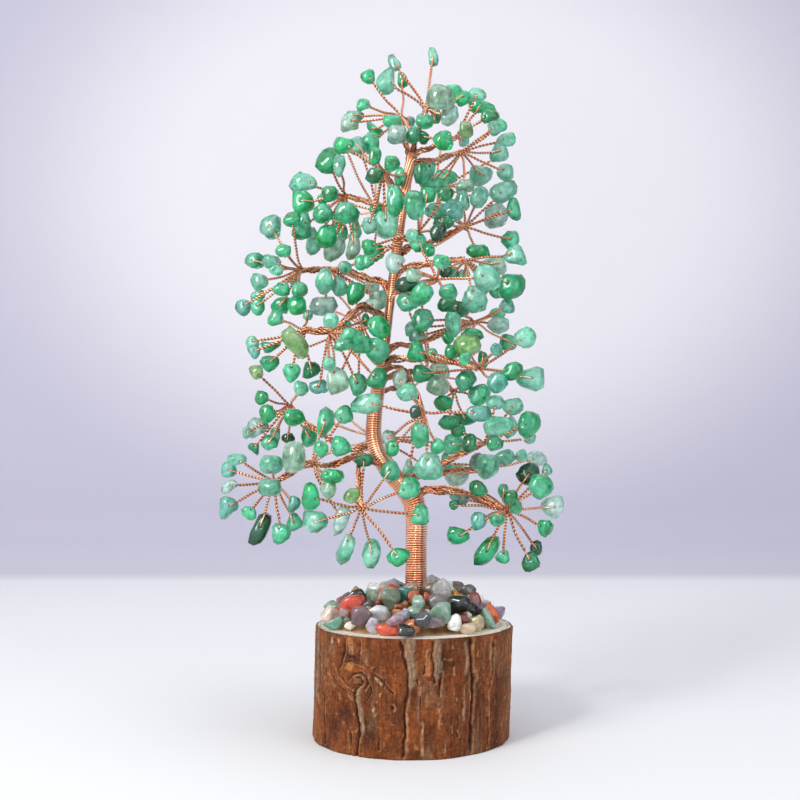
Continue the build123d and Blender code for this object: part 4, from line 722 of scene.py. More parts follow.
def facets(points, triangles):
    """The planes of a solid's outer facets, which have no point of it outside them, and its other triangles."""
    a, b, c = points[triangles[:, 0]], points[triangles[:, 1]], points[triangles[:, 2]]
    normals = np.cross(b - a, c - a)
    areas = np.linalg.norm(normals, axis=1)
    sound = areas > WELD
    normals, a, kept = normals[sound] / areas[sound, None], a[sound], triangles[sound]
    offsets = np.sum(normals * a, axis=1)
    outside = (normals @ points.T - offsets[:, None]).max(axis=1)
    flat = outside < 4 * WELD
    _, once = np.unique(np.round(normals[flat] / SAME_WAY), axis=0, return_index=True)
    return normals[flat][once], offsets[flat][once], kept[~flat], normals[~flat]


def soft_reach(directions, normals, offsets, origin, hardness, fullness):
    """How far a rounded stone reaches from its origin: the facets' own reaches joined by a power mean, so the
    corners between them are soft."""
    room = offsets - normals @ origin
    share = np.maximum(directions @ (normals / room[:, None]).T, 0)
    return fullness * np.sum(share**hardness, axis=-1) ** (-1 / hardness)


def read_chip(points, triangles):
    """A chip's planes, its hole's axis and centre: the hole's wall faces are square to its axis, and its centre
    is the circle that fits their corners best."""
    normals, offsets, wall, wall_normals = facets(points, triangles)
    axis = np.linalg.svd(wall_normals, full_matrices=False)[2][2]
    axis = axis if axis[1] < 0 else -axis
    aside = unit(np.cross(axis, [1.0, 0.0, 0.0] if abs(axis[0]) < 0.8 else [0.0, 0.0, 1.0]))
    above = np.cross(axis, aside)
    rim = points[np.unique(wall)]
    flat = np.stack([rim @ aside, rim @ above], axis=1)
    fit = np.linalg.lstsq(np.column_stack([2 * flat, np.ones(len(flat))]), np.sum(flat**2, axis=1), rcond=None)[0]
    middle = (points.max(axis=0) + points.min(axis=0)) / 2
    hole = fit[0] * aside + fit[1] * above + axis * (middle @ axis)
    return {"normals": normals, "offsets": offsets, "axis": axis, "hole": hole, "middle": middle, "points": points,
            "size": np.ptp(points, axis=0)}


def read_rods(node):
    """The stems among a node's solids, each as the two ends of its rod on its long direction."""
    rods = []
    for points, _ in separate_solids(node):
        middle = points.mean(axis=0)
        direction = np.linalg.svd(points - middle, full_matrices=False)[2][0]
        reach = (points - middle) @ direction
        aside = np.linalg.norm(points - middle - reach[:, None] * direction, axis=1)
        if aside.max() < THICKEST_ROD:
            centre = middle + direction * (reach.max() + reach.min()) / 2
            half = direction * (reach.max() - reach.min()) / 2
            rods.append((centre - half, centre + half))
    return rods


def chip_reach(chip, directions, settings):
    """How far a rounded chip reaches from its hole's middle."""
    return soft_reach(directions, chip["normals"], chip["offsets"], chip["hole"], settings.hardness,
                      settings.fullness)


def weather(local, random):
    """Turns a plain rounded chip into a drop, bean or wedge, in its own frame of length, breadth and thickness.
    Its outline is blunted towards a superellipse along its own length and breadth, with two and three slow waves
    round it, and its faces are flattened by raising them towards the rim. Then its breadth and thickness change
    with the distance from the stem, and it bends with that distance squared."""
    flat = local[..., :2].reshape(-1, 2)
    middle = (flat.max(axis=0) + flat.min(axis=0)) / 2
    longways = np.linalg.svd(flat - middle, full_matrices=False)[2]
    level = (local[..., :2] - middle) @ longways.T
    half = np.abs(level).reshape(-1, 2).max(axis=0)
    angle = np.arctan2(level[..., 1] / half[1], level[..., 0] / half[0])
    blunt = random.uniform(*BLUNTNESS) + LONG_BLUNTNESS * min(1.0, max(0.0, half[0] / half[1] - LONG_CHIP))
    swell = (np.abs(np.cos(angle))**blunt + np.abs(np.sin(angle))**blunt) ** (-1 / blunt)
    swell = swell * (1 + random.uniform(*TWO_WAVE_SHARES) * np.cos(2 * angle + random.uniform(0, TURN))
                     + random.uniform(*THREE_WAVE_SHARES) * np.cos(3 * angle + random.uniform(0, TURN)))
    outer = np.clip(np.sum((level / half) ** 2, axis=-1), 0, 1)
    level = level * (1 + (swell - 1) * outer)[..., None]
    flatter = 1 + random.uniform(*RIM_SHARES) * outer
    local = np.concatenate([level @ longways + middle, local[..., 2:] * flatter[..., None]], axis=-1)
    ahead = local[..., 0] / np.abs(local[..., 0]).max()
    wide = 1 + random.uniform(*BREADTH_SHARES) * ahead
    thick = 1 + random.uniform(*THICKNESS_SHARES) * ahead
    bend = random.uniform(-BEND_SHARE, BEND_SHARE) * np.abs(local[..., 0]).max() * ahead**2
    return np.stack([local[..., 0], local[..., 1] * wide + bend, local[..., 2] * thick], axis=-1)


def chip_grid(chip, outward, settings, random):
    """A drilled chip as a closed ring of rows from the hole's far mouth to its near one, and how near each row is
    to the rim. Each point lies along a direction from the hole's middle, at the soft reach, and the mouth rows lie
    on the hole: their angle's sine is the hole's radius over the reach there, found in rounds. The directions round
    the hole are those of even steps on a circle round the chip's own middle. Last it is weathered, and brought to
    a little over its solid's size."""
    along = chip["points"] @ outward
    beyond = (along.max() + along.min()) / 2 - chip["hole"] @ outward
    columns = np.arange(settings.chip_columns) * TURN / settings.chip_columns
    off_centre = np.clip(2 * beyond / np.ptp(along), 0, MOST_OFF_CENTRE)
    columns = np.arctan2(np.sin(columns), np.cos(columns) + off_centre)
    sideways = np.cross(chip["axis"], outward)
    round_axis = turned(columns, outward, sideways)
    hole_radius = settings.hole_radius / MM

    def at(polar):
        directions = turned(polar, chip["axis"], round_axis)
        return directions, chip_reach(chip, directions, settings)

    ends = []
    for side in (1, -1):
        for wide in (1.0, LIP_WIDTH):
            polar = np.full(len(columns), 0.3)
            for _ in range(8):
                reach = at(polar if side > 0 else math.pi - polar)[1]
                polar = np.arcsin(np.clip(hole_radius * wide / reach, 0, 0.95))
            ends.append(polar if side > 0 else math.pi - polar)
    near_mouth, near_lip, far_mouth, far_lip = ends
    shares = np.linspace(0, 1, settings.chip_rows)[:, None]
    polars = np.vstack([far_mouth[None], far_lip + (near_lip - far_lip) * shares, near_mouth[None]])
    directions, reach = at(polars)
    points = chip["hole"] + directions * reach[..., None]
    inwards = np.zeros(len(polars))
    inwards[0], inwards[-1] = 1, -1
    points = points + (inwards[:, None, None] * chip["axis"] * hole_radius * MOUTH_SHARE)
    own = np.stack([outward, sideways, chip["axis"]], axis=1)
    points = weather((points - chip["hole"]) @ own, random) @ own.T
    points = points * settings.swelling * chip["size"] / np.ptp(points.reshape(-1, 3), axis=0)
    points = np.clip(chip["hole"] + points, BOX_LOW, BOX_HIGH)
    # The waist is the share of painted rim shade: none at the faces' middles, most round the chip's outline.
    waist = np.concatenate([[0.0], 1 - np.abs(2 * shares[:, 0] - 1), [0.0]]) ** 1.4
    return points, waist[:, None]


def stone_grid(points, triangles, stones, random):
    """A gravel stone's middle, its rows from its lower pole to its upper one, and how near each point is to its
    rim. Each point lies at the soft reach from the middle. More planes, drawn at random, cut the stone to the
    broken faces of a chip, and along a direction of its own it tapers in both others. Last it is matched to a
    little over its solid's size."""
    normals, offsets, _, _ = facets(points, triangles)
    middle = (points.max(axis=0) + points.min(axis=0)) / 2
    cuts = unit(random.normal(size=(CUTS, 3)))
    room = ((points - middle) @ cuts.T).max(axis=0) * random.uniform(*CUT_SHARES, size=CUTS)
    normals, offsets = np.vstack([normals, cuts]), np.concatenate([offsets, cuts @ middle + room])
    polar = np.linspace(math.pi, 0, stones.gravel_rows + 1)[1:-1]
    round_it = np.arange(stones.gravel_columns) * TURN / stones.gravel_columns
    polar, round_it = np.meshgrid(polar, round_it, indexing="ij")
    directions = np.stack([np.sin(polar) * np.cos(round_it), np.sin(polar) * np.sin(round_it), np.cos(polar)], axis=-1)
    reach = soft_reach(directions, normals, offsets, middle, stones.gravel_hardness, stones.fullness)
    grid = directions * reach[..., None]
    own = np.linalg.qr(random.normal(size=(3, 3)))[0]
    local = grid @ own
    ahead = local[..., 0] / np.abs(local[..., 0]).max()
    tapers = 1 + random.uniform(*TAPER_SHARES, size=2) * ahead[..., None]
    grid = np.concatenate([local[..., :1], local[..., 1:] * tapers], axis=-1) @ own.T
    grid = grid * stones.gravel_swelling * np.ptp(points, axis=0) / np.ptp(grid.reshape(-1, 3), axis=0)
    # The last value is the share of painted rim shade: most round the stone's sides, none at its top and foot.
    return middle, middle + grid, (1 - np.abs(np.cos(polar))) * 0.5


def pick_tones(middles, places, chances, random, reach_px, pull=0.0):
    """A tone for each stone: one drawn by chance, or else the one named for the place where it shows. A place's
    stone is the nearest within reach, and with a pull the nearer of two to the eye."""
    names, weights = list(chances), np.array(list(chances.values()), dtype=float)
    picked = [names[i] for i in random.choice(len(names), size=len(middles), p=weights / weights.sum())]
    shown = np.array([shown_at(middle) for middle in middles])
    depths = np.array([middle[1] for middle in middles])
    for (px, py), name in places:
        away = np.hypot(shown[:, 0] - px, shown[:, 1] - py)
        close = np.flatnonzero(away < reach_px)
        if len(close):
            picked[close[np.argmin(away[close] + pull * depths[close])]] = name
    return picked


# Wires and trunk

# An eye's stops between the stem's tip and the hole: the share of the way still to go and the length added to it,
# then the share of the chip's own rise and the length over it.
EYE_STOPS = [(0.72, 0.0, 0.55, 0.1), (0.3, 0.0, 0.92, 0.32), (0.0, 0.05, 1.0, 0.3), (0.0, 0.0, 0.45, 0.0)]
EYE_TONE = (1.05, 1.03, 1.0)

# How far from its place on the trunk a limb starts and bends, its bundle's radius at full thickness, and the span of
# its chips' tones.
LIMB_START, LIMB_BEND = 7, 2.5
BUNDLE_RADIUS = 0.8
CHIP_TONES = (0.88, 1.12)

# The sides of each kind of wire, and how dark the painted shade in its crevices is.
PAIR_SIDES, PAIR_SHADE = 4, 0.9
STEM_SIDES, STEM_SHADE = 4, 0.95
STRAND_SIDES, STRAND_SHADE = 8, 0.7
WINDING_SIDES, WINDING_SHADE = 6, 0.4
EYE_SIDES = 5

# A bundle: a full one's twisted pairs and the fewest that any has, their pitch as a share of a stem's, the length
# in which a pair goes round the bundle once, how much its place in it wobbles and how far it strays, the share by
# which the bundle narrows, the span of its pairs' tones, and the length in which they come out of the painted shade
# by the trunk.
PAIRS = 8
FEWEST_PAIRS = 6
BUNDLE_PITCH_SHARE = 1.4
PAIR_TURN_LENGTHS = (18, 45)
GOLDEN_ANGLE = 2.39996
WOBBLE_SHARE = 0.45
STRAY = 0.55
BUNDLE_NARROWING = 0.3
PAIR_TONES = (0.38, 1.32)
BUNDLE_TONE = np.array([1.0, 0.96, 0.9])
SHADE_LENGTH = 30

# A stem: its bow as a share of its length, the longest bend out of its hub, its strands' distance from its line in
# their radii, the span of its pitch and tone from stem to stem, then the middle and the swing of the painted shade and
# highlight at each crossing. Solids that reach less than the last from their middle line are the stems' rods.
STEM_BOW = 0.035
LONGEST_BEND = 2.2
STEM_STANDOFF = 1.12
STEM_PITCH_SHARES = (0.85, 1.2)
STEM_TONES = (1.1, 1.45)
STEM_TONE = np.array([1.0, 0.97, 0.9])
CROSSING_SHADE, CROSSING_SHADE_SWING = 0.82, 0.42
THICKEST_ROD = 0.4

# The trunk: its strands and the rise in which they turn once, where their bare top starts and how much thicker it
# is, and where the winding starts to be thicker.
STRANDS = 9
STRAND_TURN_RISE = 70
BARE_TOP_PX = 208
BARE_THICKNESS = 0.12
FULL_WINDING_PX = 300
STRAND_TONE = (0.52, 0.44, 0.38)
CORE_TONE = (0.6, 0.6, 0.6)
WINDING_TONE = 1.3 * np.array([1.0, 0.98, 0.95])


def eye_line(chip, tip, inward, height):
    """The eye that holds a chip: a closed smooth loop out of the stem's tip, over the near side, down the hole and
    back under it. Each stretch is the cubic whose slope at a point is half the step between its neighbours."""
    hole, axis = chip["hole"], chip["axis"]
    near = np.dot(tip - hole, inward)
    half = []
    for side, rise in ((axis, height[0]), (-axis, height[1])):
        half.append([tip + side * EYE_END_SPACING] + [
            hole + inward * (share * near + ahead) + side * (rise_share * rise + over)
            for share, ahead, rise_share, over in EYE_STOPS])
    points = np.array(half[0] + [hole] + half[1][::-1])
    before, after, later = np.roll(points, 1, axis=0), np.roll(points, -1, axis=0), np.roll(points, -2, axis=0)
    t = np.arange(3)[None, :, None] / 3
    a, b = points[:, None], after[:, None]
    slope_a, slope_b = (after - before)[:, None] / 2, (later - points)[:, None] / 2
    line = ((2 * t**3 - 3 * t**2 + 1) * a + (t**3 - 2 * t**2 + t) * slope_a
            + (3 * t**2 - 2 * t**3) * b + (t**3 - t**2) * slope_b)
    return line.reshape(-1, 3)


def limb_line(leaves_px, run):
    """A limb's middle line, and how many points it has before its run: it starts inside the trunk below the place
    that it leaves from, or above it where it drops, and bends out of it. A limb of the crown goes on from the top."""
    stops = [place(px, py, share * CANOPY_DEPTH) for px, py, share in run]
    if leaves_px is None:
        top = TRUNK_TABLE[-1, 0]
        return [trunk_at(top - 4)[0][0], trunk_at(top - 1)[0][0]] + stops, 2
    height = place(AXIS_PX, leaves_px, 0)[2]
    way = 1 if stops[0][2] < height - 3 else -1
    middle, _, radius = (value[0] for value in trunk_at(height))
    out = unit(stops[0] - middle)
    start = trunk_at(height + way * LIMB_START)[0][0]
    inner = trunk_at(height + way * LIMB_BEND)[0][0] + out * radius * 0.35
    return [start, inner, middle + out * radius * 1.05] + stops, 3


def bundle(surface, points, radius, share, settings, random):
    """A limb's bundle of twisted pairs: each keeps its place in a disc packed like a sunflower head, wanders a
    little in it and turns slowly along the limb, every other pair backwards at half the rate. The disc narrows
    towards its end. Near the trunk its wires' tone is darkened with painted shade, and each wire has painted shade
    on its sides that face its partner and the bundle's middle."""
    count = max(int(round(PAIRS * share)), FEWEST_PAIRS)
    pitch = settings.twist_pitch / MM * BUNDLE_PITCH_SHARE
    line, walked = smooth_line(points, max(int(walk(points)[-1] / pitch * 5), 20))
    normals = normals_to(unit(np.gradient(line, axis=0)), BACKWARD)
    wire = settings.strand_radius / MM
    narrow = 1 - BUNDLE_NARROWING * (walked / walked[-1]) ** 2
    # Painted shade near the trunk: the tone starts at half and reaches full over the shade length.
    painted_trunk_shade = np.clip(0.5 + walked / SHADE_LENGTH, 0, 1)
    for k in range(count):
        out = (radius * 1.1 - wire) * math.sqrt((k + 0.5) / count)
        turn = k * GOLDEN_ANGLE + TURN * walked / random.uniform(*PAIR_TURN_LENGTHS) * (1 if k % 2 else -0.5)
        wobble = 1 + WOBBLE_SHARE * np.sin(walked * random.uniform(0.3, 0.7) + k * 1.7)
        outwards = turned(turn, *normals)
        waves = walked * random.uniform(0.25, 0.7, size=2)[:, None] + random.uniform(0, TURN)
        stray = STRAY * narrow * np.sin(waves)
        middle = line + (out * narrow * wobble)[:, None] * outwards
        middle = middle + stray[0][:, None] * normals[0] + stray[1][:, None] * normals[1]
        around = turned(TURN * walked / (pitch * random.uniform(0.9, 1.2)) + k, *normals)
        tone = (random.uniform(*PAIR_TONES) * painted_trunk_shade)[:, None, None] * BUNDLE_TONE
        for side in (1, -1):
            # Painted shade on the sides that face the partner and the bundle's middle.
            surface.tube(middle + side * wire * around, wire, PAIR_SIDES, BACKWARD, tone=tone,
                         shade_side=unit(-side * around - outwards), depth=PAIR_SHADE)


def stem(surface, back, hub, tip, axis, settings, random):
    """A stone's stem: two strands wound round a line that runs out of the bundle, turns at the hub and then runs
    nearly straight to the stone. Each strand stands off the line by a little over its own radius, turning once a
    pitch. The pair has painted shade where one strand crosses behind the other and a painted highlight between, and
    each strand has painted shade on its inner side."""
    length = np.linalg.norm(tip - hub)
    outward = (tip - hub) / length
    bow = np.cross(outward, axis) * length * random.uniform(-STEM_BOW, STEM_BOW)
    bend = min(LONGEST_BEND, 0.3 * length)
    points = [back, hub + (back - hub) * 0.25, hub + outward * bend, hub + outward * length * 0.55 + bow, tip]
    pitch = settings.twist_pitch / MM * random.uniform(*STEM_PITCH_SHARES)
    line, walked = smooth_line(points, max(int(walk(points)[-1] / pitch * 8), 12))
    normals = normals_to(unit(np.gradient(line, axis=0)), axis)
    wire = settings.strand_radius / MM
    turn = TURN * (walked - walked[-1]) / pitch
    around = turned(turn, *normals)
    # Painted shade where one strand crosses behind the other and painted highlight between, twice each turn.
    crossing = CROSSING_SHADE + CROSSING_SHADE_SWING * np.cos(2 * turn)
    tone = random.uniform(*STEM_TONES) * crossing[:, None, None] * STEM_TONE
    for side in (1, -1):
        surface.tube(line + side * STEM_STANDOFF * wire * around, wire, STEM_SIDES, axis, tone=tone,
                     shade_side=-side * around, depth=STEM_SHADE)


def stem_of(chip, rods):
    """The rod that points at a chip's hole, as its root, its tip and its direction: the one that passes nearest
    and ends nearest, the first counted six times."""
    best = None
    for first, second in rods:
        for root, tip in ((first, second), (second, first)):
            direction = unit(tip - root)
            ahead = (chip["hole"] - tip) @ direction
            aside = np.linalg.norm(chip["hole"] - tip - ahead * direction)
            if ahead > 0 and (best is None or 6 * aside + ahead < best[0]):
                best = (6 * aside + ahead, root, tip, direction)
    return best[1:]


def make_branch(name, rows, settings, stones, random):
    """One branch: its bundles, its stems and eyes in one piece, and its chips in another."""
    chips = [read_chip(*solid) for solid in separate_solids(name + "_stones")]
    chips.sort(key=lambda chip: (round(chip["middle"][2], 1), round(chip["middle"][0], 1)))
    rods = read_rods(name + "_wires")
    places = [(spot, tone) for tone, spots in CHIPS_PX.items() for spot in spots]
    chances = {tone: weight for tone, (_, weight) in GREENS.items()}
    tones = pick_tones([chip["middle"] for chip in chips], places, chances, random, reach_px=9, pull=0.1)
    wires, pebbles = Surface(), Surface()
    hubs, lines = [], []
    for leaves_px, run, clusters, share in rows:
        points, skipped = limb_line(leaves_px, run)
        radius = BUNDLE_RADIUS * share
        bundle(wires, points, radius, share, settings, random)
        for index in clusters:
            hubs.append(points[index + skipped])
            lines.append((unit(points[index + skipped - 1] - points[index + skipped]), radius))
    hubs = np.array(hubs)
    for chip, tone in zip(chips, tones):
        root, tip, direction = stem_of(chip, rods)
        outward = unit(direction - chip["axis"] * (direction @ chip["axis"]))
        points, rim = chip_grid(chip, outward, stones, random)
        pebbles.grid(points, linear(GREENS[tone][0]) * random.uniform(*CHIP_TONES), rim, close_rows=True)
        height = [chip_reach(chip, np.array([side]), stones)[0] for side in (chip["axis"], -chip["axis"])]
        wires.tube(eye_line(chip, tip, -direction, height), settings.strand_radius / MM, EYE_SIDES,
                   np.cross(direction, chip["axis"]), tone=EYE_TONE, closed=True)
        offsets = hubs - root
        nearest = int(np.argmin(np.linalg.norm(offsets - (offsets @ direction)[:, None] * direction, axis=1)))
        backwards, radius = lines[nearest]
        spread = random.normal(size=3) * radius * 0.35
        back = hubs[nearest] + backwards * random.uniform(3, 6) + spread
        stem(wires, back, hubs[nearest], tip, chip["axis"], settings, random)
    make_piece(name + "_wire_work", wires, MATERIALS["copper"], "copper_wire", name + "_wires")
    make_piece(name + "_chips", pebbles, MATERIALS["aventurine"], "aventurine", name + "_stones")


def make_strands(wire):
    """The bundle inside the trunk: strands laid round a core and turning slowly, a quarter thicker than would let
    them touch. Where the winding ends, they fill its room."""
    heights = np.linspace(STUMP_HEIGHT - ROOT_DEPTH + 0.4, TRUNK_TABLE[-1, 0] - 0.4, 150)
    middle, along, radius = trunk_at(heights)
    bare = np.clip((heights - place(0, BARE_TOP_PX, 0)[2]) / 2.5, 0, 1)
    inner = radius * (1 + BARE_THICKNESS * bare) - 2 * wire.winding_radius / MM * (1 - bare)
    thick = inner / (1 + 1 / math.sin(math.pi / STRANDS))
    strands = Surface()
    for k in range(STRANDS):
        around = turned(TURN * (k / STRANDS + heights / STRAND_TURN_RISE), beside(along), BACKWARD)
        spot = middle + (inner - thick)[:, None] * around
        # Painted shade on each strand's side that faces the core.
        strands.tube(spot, thick * 1.25, STRAND_SIDES, BACKWARD, tone=STRAND_TONE, shade_side=middle - spot,
                     depth=STRAND_SHADE)
    strands.tube(middle, inner - thick, STRAND_SIDES, BACKWARD, tone=CORE_TONE)
    make_piece("trunk_strands", strands, MATERIALS["copper"], "copper_wire", "trunk_core")


def make_winding(name, low_px, high_px, wire, random):
    """One length of the fine winding: a wire on the trunk's outline that turns once a pitch along its middle line.
    The strands under it raise it in four ridges round, it sits a little loose in places, and its turns are unevenly
    spaced and toned."""
    fine = np.linspace(place(0, low_px, 0)[2], place(0, high_px, 0)[2], 400)
    walked = walk(trunk_at(fine)[0])
    thick, pitch = wire.winding_radius / MM, wire.winding_pitch / MM
    turns = walked[-1] / pitch
    stations = np.linspace(0, 1, int(turns * 20))
    heights = np.interp(stations * walked[-1], walked, fine)
    middle, along, radius = trunk_at(heights)
    turn = TURN * turns * stations
    knots = np.linspace(0, 1, int(turns / 2) + 4)
    uneven = np.interp(stations, knots, random.normal(size=len(knots)) * 0.07)
    slack = np.interp(stations, knots, np.abs(random.normal(size=len(knots))) * 0.06)
    shade = np.interp(stations, knots, random.uniform(0.88, 1.06, size=len(knots)))
    ridges = 0.92 + 0.07 * np.cos(4 * turn + 4.9 + heights / 220) + 0.01 * np.cos(7 * turn - heights / 40)
    ridges = ridges + 0.2 * np.clip((heights - place(0, FULL_WINDING_PX, 0)[2]) / 20, 0, 1)
    out = radius * ridges - thick - 0.05 + slack
    spot = middle + out[:, None] * turned(turn, beside(along), BACKWARD) + along * uneven[:, None] * pitch
    winding = Surface()
    # Painted shade between the turns: the tone darkens where the wire faces along the trunk, both ways.
    winding.tube(spot, thick, WINDING_SIDES, along, tone=shade[:, None, None] * WINDING_TONE, shade_side=along,
                 depth=WINDING_SHADE, both=True)
    make_piece(name + "_fine", winding, MATERIALS["winding"], "copper_wire", name)


# Bark and glue


def wrapped(arc):
    """An arc on the unrolled bark, brought to within half the way round."""
    return (arc + GIRTH / 2) % GIRTH - GIRTH / 2


def line_distance(arc, height, run):
    """Distance of each point of the unrolled bark from a run of points, and the side that it lies on: the least
    over the run's stretches of the distance to the stretch's nearest point."""
    best, side = np.full(arc.shape, np.inf), np.zeros(arc.shape)
    for (a0, z0), (a1, z1) in zip(run, run[1:]):
        u, v = wrapped(arc - a0), height - z0
        du, dv = wrapped(a1 - a0), z1 - z0
        t = np.clip((u * du + v * dv) / (du * du + dv * dv), 0, 1)
        away = np.hypot(u - t * du, v - t * dv)
        closer = away < best
        best = np.where(closer, away, best)
        side = np.where(closer, np.sign(u - t * du), side)
    return best, side


def on_bark(px, py):
    """The place on the unrolled bark, as arc and height, that shows at a pixel: its ray meets the stump's side."""
    depth = -STUMP_RADIUS
    for _ in range(12):
        point = place(px, py, depth)
        lean = STUMP_LEAN * (point[2] / STUMP_HEIGHT - 0.5)
        across = np.clip((point[0] - lean) / STUMP_RADIUS, -0.999, 0.999)
        depth = -STUMP_RADIUS * math.sqrt(1 - across * across)
    return math.asin(across) * STUMP_RADIUS, point[2]


def outline_reach(angles):
    """The stump's radius round its outline: a circle with three slow waves."""
    waves = sum(share * np.cos(count * (angles - math.radians(phase)))
                for count, share, phase in ((2, 0.010, 20.0), (3, 0.008, 75.0), (5, 0.004, 10.0)))
    return STUMP_RADIUS * (1 + waves)


def mix_in(tone, colour, share):
    """The bark's tones turned towards one of its named tones by a share at each point."""
    return tone + (linear(BARK_TONES[colour]) - tone) * share[..., None]


def bark_layers(arc, height):
    """The bark's layers of noise, and how near each point is to the knot. The layers follow the grain, which turns
    round the knot, most at its middle."""
    knot_arc, knot_height = on_bark(*KNOT_PX)
    across, up = wrapped(arc - knot_arc), height - knot_height
    near = np.exp(-(across**2 + (up / KNOT_STRETCH) ** 2) / KNOT_REACH**2)
    swirl = KNOT_SWIRL * near
    u = (knot_arc + across * np.cos(swirl) - up * np.sin(swirl)) / GIRTH
    v = (knot_height + across * np.sin(swirl) + up * np.cos(swirl)) / STUMP_HEIGHT
    layers = {name: value_noise(u, v, *layer) for name, layer in BARK_LAYERS.items()}
    layers["flakes"] = value_noise(u + 0.002 * np.sin(v * 40), v, *FLAKES)
    return layers, near


def bark_ground(layers, near, angle, colour):
    """The bark's tone and relief under its marks: plates with streaks and fibres, redder at the knot, warmer away
    from the front, greyed in patches, and raised where there are flakes."""
    plates, streaks = layers["plates"], layers["streaks"]
    relief = -0.65 * (1 - plates) - 0.22 * (1 - streaks) - 0.12 * (1 - layers["fibres"]) + 0.1
    relief = relief + 0.5 * near * np.cos(6 * near)
    tone = colour * (0.06 + 1.12 * plates + 0.3 * streaks + 0.34 * layers["broad"])[..., None]
    tone = mix_in(tone, "knot", 0.4 * near * streaks)
    from_front = np.abs((angle + math.pi) % TURN - math.pi)
    warm = np.clip((from_front - 0.95) / 0.5, 0, 1) * (0.35 + 0.65 * layers["warmth"])
    tone = mix_in(tone, "warm", 0.55 * warm)
    greyed = np.clip(layers["patches"] * layers["stripes"] * 2.6 - 0.75, 0, 1)
    tone = mix_in(tone, "weathered", 0.3 * greyed)
    raised = np.clip((layers["flakes"] - 0.87) * 9, 0, 1)
    return mix_in(tone, "tan", 0.6 * raised), relief + 0.12 * raised


def chance_marks(random):
    """Cracks and strips by chance: long upright cracks behind, most of them with a strip beside, and short marks
    all round, the shortest in front."""
    cracks, strips = [], []
    for degrees in BACK_CRACKS_DEG:
        start = math.radians(degrees) * STUMP_RADIUS
        top, bottom = STUMP_HEIGHT - random.uniform(0, 9), random.uniform(0, 12)
        stops = np.linspace(top, bottom, 6)
        sway = start + np.cumsum(random.normal(size=6)) * 0.35
        cracks.append((random.uniform(0.25, 0.42), list(zip(sway, stops))))
        if random.random() < STRIP_CHANCE:
            strips.append((("tan", "greytan", "grey")[int(random.integers(3))], random.uniform(0.5, 1.5),
                           list(zip(sway[:4] + random.uniform(0.9, 2.2), stops[:4]))))
    for _ in range(SHORT_MARKS):
        start, top = random.uniform(0, GIRTH), random.uniform(3, STUMP_HEIGHT - 1)
        in_front = min(start, GIRTH - start) < 1.2 * STUMP_RADIUS
        long = random.uniform(1.0, 3.5) if in_front else random.uniform(1.5, 9)
        run = [(start, top), (start + random.normal() * 0.4, max(top - long, 0.5))]
        if random.random() < 0.5:
            cracks.append((random.uniform(0.12, 0.22), run))
        else:
            strips.append((("tan", "pale", "greytan")[int(random.integers(3))], random.uniform(0.2, 0.45), run))
    return cracks, strips


def mark_bark(tone, relief, arc, height, fibres, crack_depth):
    """Lays the strips on the bark, and then cuts the cracks, darkened with painted shade, each with a pale raised
    edge on its one side that is a painted highlight.
    """
    cracks, strips = chance_marks(np.random.default_rng(5))
    cracks = [(half * PIXEL, [on_bark(*spot) for spot in run]) for half, run in CRACKS_PX] + cracks
    strips = [(name, half * PIXEL, [on_bark(*spot) for spot in run]) for name, half, run in STRIPS_PX] + strips
    for name, half, run in strips:
        away, _ = line_distance(arc, height, run)
        patch = np.clip((1.35 * half - away) / (0.7 * half), 0, 1) * (0.55 + 0.45 * fibres)
        tone = mix_in(tone, name, 0.72 * patch)
        relief = relief + 0.1 * patch
    deep = np.zeros(arc.shape)
    for half, run in cracks:
        away, side = line_distance(arc, height, run)
        deep = np.maximum(deep, np.exp(-((away / (1.15 * half)) ** 2)) * min(1.0, 0.45 + half))
        # Painted highlight on one lip of the crack, which is also raised a little.
        edge = np.exp(-(((away - 2.4 * half) / (0.9 * half)) ** 2)) * (side > 0) * 0.5
        tone = mix_in(tone, "crack_edge_highlight", edge)
        relief = relief + 0.1 * edge
    # Painted shade deep in the cracks, beside the cut in the relief.
    return mix_in(tone, "crack", np.clip(deep * 1.25, 0, 1) * 0.93), relief - crack_depth * deep


def bark_surface(stump):
    """The bark as rows that close to a ring. On its side, a point's reach from the stump's leaning middle line is
    the outline's plus the relief, and its marks stray by the layers of bends and wavers. At its top and foot, rows
    go in to the wood, which they overlap by a hair."""
    angles = np.arange(stump.bark_columns) * TURN / stump.bark_columns
    heights = np.linspace(0.35, STUMP_HEIGHT - 0.3, stump.bark_rows)
    angle, height = np.meshgrid(angles, heights)
    arc = angle * STUMP_RADIUS
    layers, near = bark_layers(arc, height)
    tone, relief = bark_ground(layers, near, angle, np.array(stump.bark_colour))
    arc = arc + 0.9 * (layers["bends"] - 0.5) + 0.5 * (layers["wavers"] - 0.5)
    tone, relief = mark_bark(tone, relief, arc, height, layers["fibres"], stump.crack_depth / MM)
    radius = outline_reach(angle) + relief
    inner = outline_reach(angles) - BARK_THICKNESS + 0.02
    low, top = radius[0], radius[-1]
    reach = np.vstack([inner, low - 0.3, radius, top - 0.25, top - 0.6, top - 1.0, inner])
    rise = np.concatenate([[0.02, 0.0], heights, [STUMP_HEIGHT - 0.03], np.full(3, STUMP_HEIGHT)])[:, None]
    wood, under, edge = (np.tile(linear(BARK_TONES[name]), (1, len(angles), 1))
                         for name in ("sapwood", "underside", "sawn_edge"))
    tones = np.concatenate([wood, under, tone, tone[-1:] * 0.8, edge, wood, wood])
    lean = STUMP_LEAN * (rise / STUMP_HEIGHT - 0.5)
    points = np.broadcast_arrays(reach * np.sin(angles) + lean, -reach * np.cos(angles), rise)
    bark = Surface()
    bark.grid(np.stack(points, axis=-1), tones, close_rows=True)
    return bark


